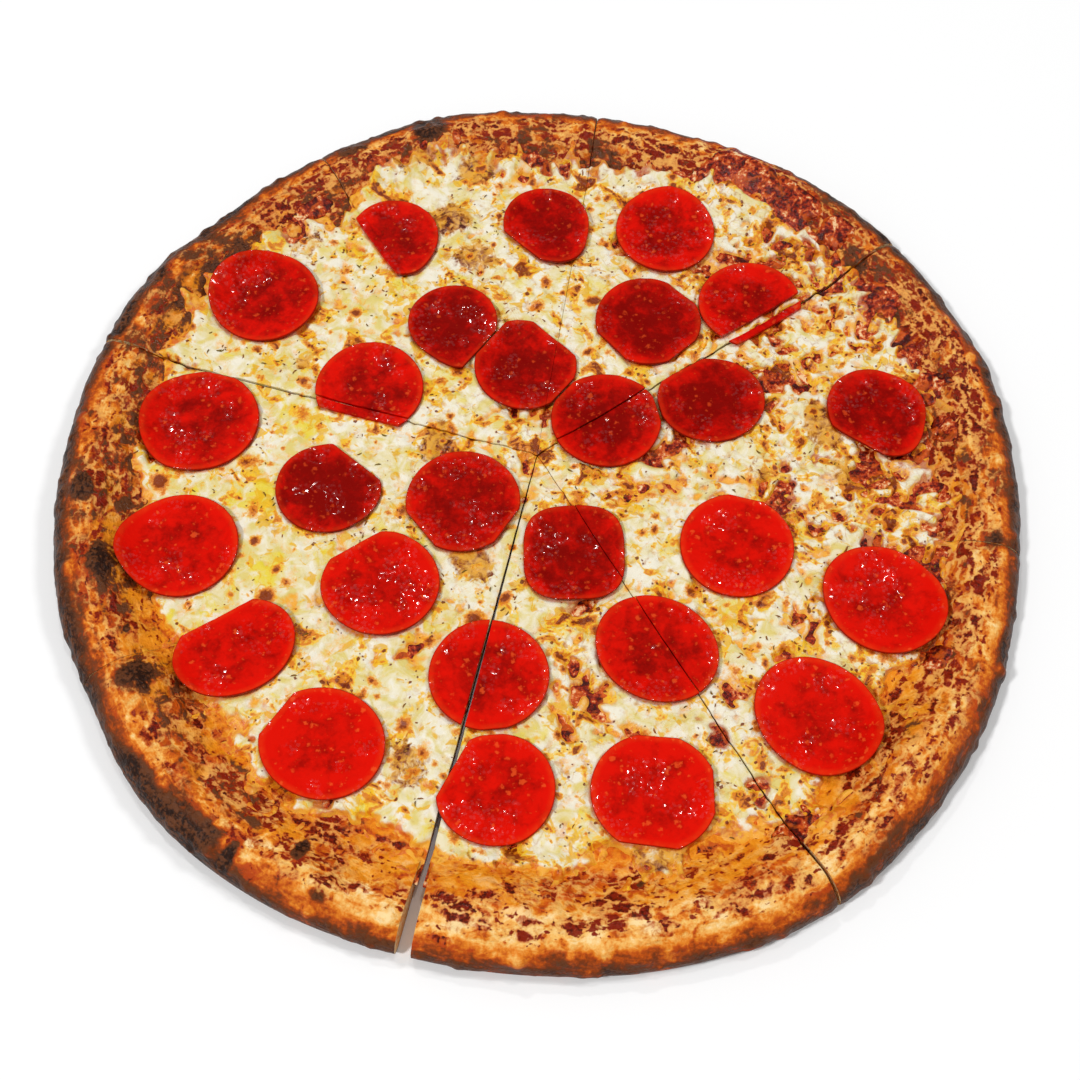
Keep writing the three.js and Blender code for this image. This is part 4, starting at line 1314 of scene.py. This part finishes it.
class PIZZA_OT_dough(bpy.types.Operator):
    """Makes the dough of every slice, with its raised and browned rim"""

    bl_idname = "pizza.dough"
    bl_label = "Make the dough"

    def execute(self, context):
        """Builds one closed piece for each slice."""
        toppings = shared_maps()
        finish = crust_finish()
        for number in range(len(SLICES)):
            self.make_slice(toppings, number, finish, context.scene.pizza_sizes.crust_cell)
        return {"FINISHED"}

    def make_slice(self, toppings, number, finish, cell):
        """One slice: rows fine over the rim, coarse under the toppings and below."""
        fan = slice_fan(number, CRUST)
        floor = SLICES[number][2]
        quarter = np.linspace(0, math.pi / 2, 20)
        over = [steady(RIDGE_INSET * (1 - math.cos(turn))) for turn in quarter]
        inner = [steady(value) for value in np.arange(RIDGE_INSET + cell, FLAT_INSET, cell)]
        top_rows = fan_rows(fan, over + inner, cell, inner_cell=4.0)
        turned_up = [steady(LIP_UNDERCUT * (1 - math.cos(turn)))
                     for turn in np.linspace(0, math.pi / 2, 7)]
        base_rows = fan_rows(fan, turned_up, 2 * cell, inner_cell=7.0)
        base_rows[0] = top_rows[0]
        points, faces, on_top, on_wall, edge = without_strays(*layer_shell(
            fan, top_rows, base_rows, lambda x, y: dough_top(x, y, floor), dough_base,
            shared_edge=True, levels=(0.08, 0.25, 0.45, 0.65, 0.85)))
        inset = inset_at(points[:, 0], points[:, 1])
        normals = point_normals(points, faces)
        relief, raised = crust_relief(toppings, points, inset, on_top)
        beside = to_side(number, points[:, 0], points[:, 1], CRUST)
        normals[:, :2] *= smooth(0.2, 3, beside)[:, None]
        rounded = 0.7 * np.exp(-np.clip(beside, 0, None)) * on_top
        relief = np.where(on_top | on_wall, relief, 0)
        points = points + normals * relief[:, None]
        points[:, 2] = np.clip(points[:, 2] - rounded * smooth(0, 4, points[:, 2]), 0, None)
        middle = fan[1] + fan[2] / 2
        attributes = self.attributes(toppings, points, inset, on_top, on_wall, raised, middle)
        make_piece(f"crust_{number + 1}", points, faces, attributes, finish,
                   f"dough_{number + 1}", sharp=edge)

    def attributes(self, toppings, points, inset, on_top, on_wall, raised, middle):
        """What the crust's finish reads from the mesh; middle is the slice's own direction."""
        x, y = points[:, 0], points[:, 1]
        away = np.arctan2(y, x) - middle
        angle = middle + np.arctan2(np.sin(away), np.cos(away))
        under = ~(on_top | on_wall)
        raised_edge = under & (points[:, 2] > LEAST_HEIGHT)
        skin = on_plan(angle * SKIN_RADIUS, over_the_rim(inset) * SKIN_STRETCH)
        bake = 0.55 + 0.14 * rough(on_plan(x, y), 55, 131, 2) + 0.09 * np.cos(angle - 2.5)
        # Darker on the left outer side and on the far side, most at the far outer edge: partly
        # browning, partly painted shade.
        bake = bake + 0.12 * np.clip(np.cos(angle - 3.0), 0, 1) ** 2 * (1 - smooth(6, 16, inset))
        far = np.clip(0.8 + 0.75 * np.sin(angle) + 0.15 * np.cos(angle), 0, 1)
        bake = bake + far * (0.19 + 0.14 * (1 - smooth(2, 8, inset)))
        return {
            "inset": np.where(raised_edge, -2.0, inset), "skin": skin,
            "charred": toppings.charred.at(x, y), "red": toppings.red.at(x, y),
            "wall": on_wall.astype(float), "bake": bake, "relief": raised,
            "under": (under & ~raised_edge).astype(float),
        }


def edge_rows(fan, edge, cell):
    """Rows of a layer whose edge lies at an inset given by a function of the angle."""
    tip, start, turn = fan
    narrow = float(edge(np.array([start + turn / 2]))[0])
    steps = max(2, math.ceil((FLAT_INSET - narrow) / cell))
    insets = [lambda angle, share=share: lerp(edge(angle), FLAT_INSET, share)
              for share in np.linspace(0, 1, steps)]
    return fan_rows(fan, insets, cell, cell)


def topping_layer(number, cell, top, reach, depth):
    """Points, triangles and sharp points of a layer whose edge and base are inside the dough."""
    fan = slice_fan(number, TOPPINGS)
    top_rows, base_rows = (edge_rows(fan, lambda angle: cheese_inset(angle) - reach, size)
                           for size in (cell, HIDDEN_CELL))
    points, faces, _, _, edge = layer_shell(
        fan, top_rows, base_rows, top,
        lambda x, y: dough_top(x, y, SLICES[number][2]) - depth)
    return without_strays(points, faces, edge)


class PIZZA_OT_sauce(bpy.types.Operator):
    """Spreads the sauce over every slice"""

    bl_idname = "pizza.sauce"
    bl_label = "Spread the sauce"

    def execute(self, context):
        """Builds one closed layer for each slice."""
        toppings = shared_maps()
        finish = sauce_finish()
        cell = context.scene.pizza_sizes.sauce_cell
        for number in range(len(SLICES)):
            points, faces, edge = topping_layer(
                number, cell, lambda x, y: sauce_top(toppings, number, x, y), **SAUCE_HIDDEN)
            make_piece(f"sauce_layer_{number + 1}", points, faces, {}, finish,
                       f"sauce_{number + 1}", sharp=edge)
        return {"FINISHED"}


class PIZZA_OT_cheese(bpy.types.Operator):
    """Melts the cheese over every slice"""

    bl_idname = "pizza.cheese"
    bl_label = "Melt the cheese"

    def execute(self, context):
        """Builds one closed layer for each slice."""
        toppings = shared_maps()
        finish = cheese_finish()
        cell = context.scene.pizza_sizes.cheese_cell
        for number in range(len(SLICES)):
            points, faces, edge = topping_layer(
                number, cell, lambda x, y: cheese_top(toppings, number, x, y), **CHEESE_HIDDEN)
            make_piece(f"cheese_layer_{number + 1}", points, faces,
                       self.attributes(toppings, number, points), finish,
                       f"cheese_{number + 1}", sharp=edge)
        return {"FINISHED"}

    def attributes(self, toppings, number, points):
        """What the cheese's finish reads from the mesh."""
        x, y = points[:, 0], points[:, 1]
        inside = smooth(0.5, 3.5, to_side(number, x, y, TOPPINGS))
        away = toppings.to_pepperoni.at(x, y)
        return {
            "tone": toppings.tone.at(x, y), "yellow": toppings.yellow.at(x, y),
            "toast": toppings.toasted.at(x, y), "thick": toppings.cheese.at(x, y),
            "crease": toppings.crease.at(x, y), "gold": toppings.yellow_places.at(x, y),
            "browned": toppings.toasted_places.at(x, y),
            "fringe": 1 - smooth(-1, 9, toppings.beyond.at(x, y)),
            "oil": np.exp(-np.clip(away, 0, None) / 1.3) * inside,
            "showing": toppings.showing.at(x, y), "busy": toppings.busy.at(x, y),
        }


class PIZZA_OT_pepperoni(bpy.types.Operator):
    """Lays the pepperoni on the cheese, cut where a cut crosses it"""

    bl_idname = "pizza.pepperoni"
    bl_label = "Lay the pepperoni"

    def execute(self, context):
        """Builds one closed piece for each slice of pepperoni, or two where it is cut."""
        finish = pepperoni_finish()
        cell = context.scene.pizza_sizes.pepperoni_cell
        for index, spec in enumerate(PEPPERONIS):
            node = f"pepperoni_{index + 1:02d}"
            if "crosses" not in spec:
                number = slice_at(spec["x"], spec["y"])
                points, faces, attributes = self.disc(spec, index, number, cell)
                make_piece(f"{node}_slice", points, faces, attributes, finish, node)
                continue
            cut = spec["crosses"]
            parts = (("a", main_side(spec), spec.get("trim", 0), None),
                     ("b", -main_side(spec), 0, spec.get("sliver")))
            for letter, side, clear, depth in parts:
                number = [pair[0 if side > 0 else 1] for pair in SLICES].index(cut)
                points, faces, attributes = self.disc(spec, index, number, cell)
                piece = make_piece(f"{node}_{letter}_slice", points, faces, attributes, finish,
                                   f"{node}_{letter}")
                self.trim(piece, slice_side(cut, side, TOPPINGS), side, clear, depth)
        return {"FINISHED"}

    def disc(self, spec, index, number, cell):
        """A thin disc, curled up a little at its edge and lumpy with fat."""
        shell = Shell()
        rng = np.random.default_rng(PEPPERONI_SEED + index)
        cup = rng.uniform(0.7, 1.7)
        waves = rng.uniform(0, TURN, 2)
        widest = max(spec["long"], spec["wide"])
        rings = math.ceil(widest / cell)
        rows = []
        shown = []
        shares = [k / rings for k in range(rings)] + [0.985]
        # Rows from the middle of the top, out over the edge and back below: share and height.
        profile = [(share, PEPPERONI_THICK) for share in shares]
        profile += [(0.997, PEPPERONI_THICK - 0.18), (1.0, PEPPERONI_THICK - 0.5), (1.0, 0.55)]
        profile += [(0.985, 0.1), (0.8, 0), (0.5, 0), (0, 0)]
        for share, high in profile:
            count = max(6, round(TURN * widest * share / (cell if high > 0.2 else 2 * cell)))
            angle = TURN * np.arange(count) / count if share else np.zeros(1)
            radius = share * pepperoni_radius(spec, angle)
            x = spec["x"] + radius * np.cos(angle)
            y = spec["y"] + radius * np.sin(angle)
            curl = cup * (1 + 0.35 * np.sin(2 * angle + waves[0])
                          + 0.2 * np.sin(3 * angle + waves[1]))
            plan = on_plan(x, y)
            shining = smooth(0.05, 0.45, noise(plan, 8, 505) + 0.3 * share - 0.1)
            lumps = 0.35 * rough(plan, 9, 501, 3) + 0.26 * shining * noise(plan, 1.8, 507)
            lumps = lumps if high > 1 else 0
            z = resting_height(number, x, y) + high + curl * share ** 3 + lumps - 0.25 * (1 - share)
            numbers = shell.add(np.column_stack([x, y, z]))
            rows.append(np.append(numbers, numbers[0]) if share else numbers)
            shown.append(np.column_stack([np.full(len(x), share), shining]))
        for inner, outer in zip(rows, rows[1:]):
            shell.strip(outer, inner)
        points, faces = shell.finished()
        share, shining = np.concatenate(shown).T
        attributes = {"share": share, "glossy": shining,
                      "tone": np.full(len(points), spec["tone"])}
        return points, faces, attributes

    def trim(self, piece, line, side, clear, depth):
        """Cuts the disc off beside its cut, and at its sliver's far side if it has one."""
        point, angle = line
        across = side * np.array([-math.sin(angle), math.cos(angle)])
        planes = [(point + across * clear, -across)]
        if depth is not None:
            planes.append((point + across * (clear + depth), across))
        body = bmesh.new()
        body.from_mesh(piece.data)
        for place, outward in planes:
            everything = list(body.verts) + list(body.edges) + list(body.faces)
            bmesh.ops.bisect_plane(
                body, geom=everything, dist=1e-7, plane_co=(*(place * MM), 0),
                plane_no=(*outward, 0), clear_outer=True)
            rim = [edge for edge in body.edges if edge.is_boundary]
            filled = bmesh.ops.holes_fill(body, edges=rim, sides=0)["faces"]
            for edge in rim:
                edge.smooth = False
            bmesh.ops.triangulate(body, faces=filled)
        body.to_mesh(piece.data)
        body.free()


class PIZZA_OT_herbs(bpy.types.Operator):
    """Scatters dried herb flakes over the cheese"""

    bl_idname = "pizza.herbs"
    bl_label = "Scatter the herbs"

    def execute(self, context):
        """Joins all flakes in one piece."""
        toppings = shared_maps()
        rng = np.random.default_rng(HERB_SEED)
        shell = Shell()
        while len(shell.blocks) < 2 * context.scene.pizza_sizes.herb_flakes:
            x, y = place_within(rng, HERBS["radius"])
            half = rng.uniform(0.4, 1.5)
            wide = rng.uniform(0.14, 0.3)
            turn = TURN * rng.random()
            tilt = rng.normal(0, 0.25)
            here = np.array([x]), np.array([y])
            if toppings.to_pepperoni.at(x, y) < 0.8 or inset_at(x, y) < HERBS["inset"]:
                continue
            number = slice_at(x, y)
            crowded = 0.35 + 0.9 * noise(np.array([[x, y, 0.0]]), 22, 905)[0]
            if to_side(number, *here, TOPPINGS)[0] < 1.5 or rng.random() > crowded:
                continue
            z = float(cheese_top(toppings, number, *here)[0])
            z = max(z, float(sauce_top(toppings, number, *here)[0]))
            self.flake(shell, np.array([x, y, z]), half, wide, turn, tilt)
        points, faces = shell.finished()
        make_piece("herb_flakes", points, faces, {}, herb_finish(), None)
        return {"FINISHED"}

    def flake(self, shell, place, half, wide, turn, tilt):
        """A thin bent leaf scrap with six corners."""
        thick = 0.14
        outline = np.array([(-half, 0), (-half * 0.4, -wide), (half * 0.5, -wide * 0.8),
                            (half, 0), (half * 0.4, wide), (-half * 0.5, wide * 0.7)])
        bent = 0.12 * half * (outline[:, 0] / half) ** 2 + tilt * outline[:, 0]
        outline[:, 1] += 0.35 * half * (outline[:, 0] / half) ** 2
        cos, sin = math.cos(turn), math.sin(turn)
        x = outline[:, 0] * cos - outline[:, 1] * sin
        y = outline[:, 0] * sin + outline[:, 1] * cos
        top = shell.add(place + np.column_stack([x, y, bent + thick]))
        bottom = shell.add(place + np.column_stack([x, y, bent - thick]))
        ring = np.append(np.arange(6), 0)
        shell.strip(bottom[ring], top[ring])
        fan = np.array([(0, k, k + 1) for k in range(1, 5)])
        shell.triangles.append(top[fan])
        shell.triangles.append(bottom[fan[:, ::-1]])


class PIZZA_OT_stage(bpy.types.Operator):
    """Sets the floor, the lights and the camera"""

    bl_idname = "pizza.stage"
    bl_label = "Set the stage"

    def execute(self, context):
        """Makes the surroundings, which aren't part of the pizza."""
        self.floor()
        self.light("key", (-1.7, -0.9, 2.7), 0.4, 54)
        self.light("fill", (2.2, 0.3, 2.6), 0.6, 28)
        self.light("glint", (0.5, 0.7, 3.0), 0.14, 9)
        self.light("glint_left", (-0.6, 1.6, 2.7), 0.14, 9)
        world = bpy.data.worlds.new("studio")
        world.use_nodes = True
        background = world.node_tree.nodes["Background"]
        background.inputs["Color"].default_value = (1, 1, 1, 1)
        background.inputs["Strength"].default_value = 0.32
        context.scene.world = world
        context.scene.view_settings.view_transform = "Standard"
        self.camera(context)
        return {"FINISHED"}

    def floor(self):
        """A wide plain floor just under the pizza."""
        half = 4.0
        mesh = bpy.data.meshes.new("floor")
        corners = [(-half, -half, 0), (half, -half, 0), (half, half, 0), (-half, half, 0)]
        mesh.from_pydata(corners, [], [(0, 1, 2, 3)])
        mesh.materials.append(floor_finish())
        floor = bpy.data.objects.new("floor", mesh)
        bpy.context.scene.collection.objects.link(floor)

    def light(self, name, place, across, watts):
        """A round lamp that faces the pizza."""
        lamp = bpy.data.lights.new(name, "AREA")
        lamp.shape = "DISK"
        lamp.size = across
        lamp.energy = watts
        holder = bpy.data.objects.new(name, lamp)
        holder.location = place
        holder.rotation_euler = Vector(place).to_track_quat("Z", "Y").to_euler()
        bpy.context.scene.collection.objects.link(holder)

    def camera(self, context):
        """Looks down at the pizza from the near side, at 63 degrees above the floor."""
        elevation = 63
        lens = bpy.data.cameras.new("camera")
        lens.lens = 49.2
        lens.sensor_width = 36
        camera = bpy.data.objects.new("camera", lens)
        camera.location = (0.0008, -0.29815, 0.5401)
        camera.rotation_euler = (math.radians(90 - elevation), 0, 0)
        context.scene.collection.objects.link(camera)
        context.scene.camera = camera


class PIZZA_PT_making(bpy.types.Panel):
    """Lists the steps that make the pizza"""

    bl_idname = "PIZZA_PT_making"
    bl_label = "Pepperoni pizza"
    bl_space_type = "VIEW_3D"
    bl_region_type = "UI"
    bl_category = "Pizza"

    def draw(self, context):
        """One button for each step, then the sizes and colours."""
        for operator in STEPS:
            self.layout.operator(operator.bl_idname)
        for group in (context.scene.pizza_sizes, context.scene.pizza_colours):
            box = self.layout.box()
            for key in group.__annotations__:
                box.prop(group, key)


STEPS = (PIZZA_OT_stage, PIZZA_OT_dough, PIZZA_OT_sauce, PIZZA_OT_cheese, PIZZA_OT_pepperoni,
         PIZZA_OT_herbs)
CLASSES = (PizzaSizes, PizzaColours, *STEPS, PIZZA_PT_making)


def register():
    """Registers the classes and gives scenes the pizza's sizes and colours."""
    for cls in CLASSES:
        bpy.utils.register_class(cls)
    bpy.types.Scene.pizza_sizes = bpy.props.PointerProperty(type=PizzaSizes)
    bpy.types.Scene.pizza_colours = bpy.props.PointerProperty(type=PizzaColours)


def unregister():
    """Takes back what register added."""
    del bpy.types.Scene.pizza_colours
    del bpy.types.Scene.pizza_sizes
    for cls in reversed(CLASSES):
        bpy.utils.unregister_class(cls)


def main():
    """Makes the whole scene."""
    register()
    bpy.ops.pizza.stage()
    bpy.ops.pizza.dough()
    bpy.ops.pizza.sauce()
    bpy.ops.pizza.cheese()
    bpy.ops.pizza.pepperoni()
    bpy.ops.pizza.herbs()


if __name__ == "__main__":
    main()
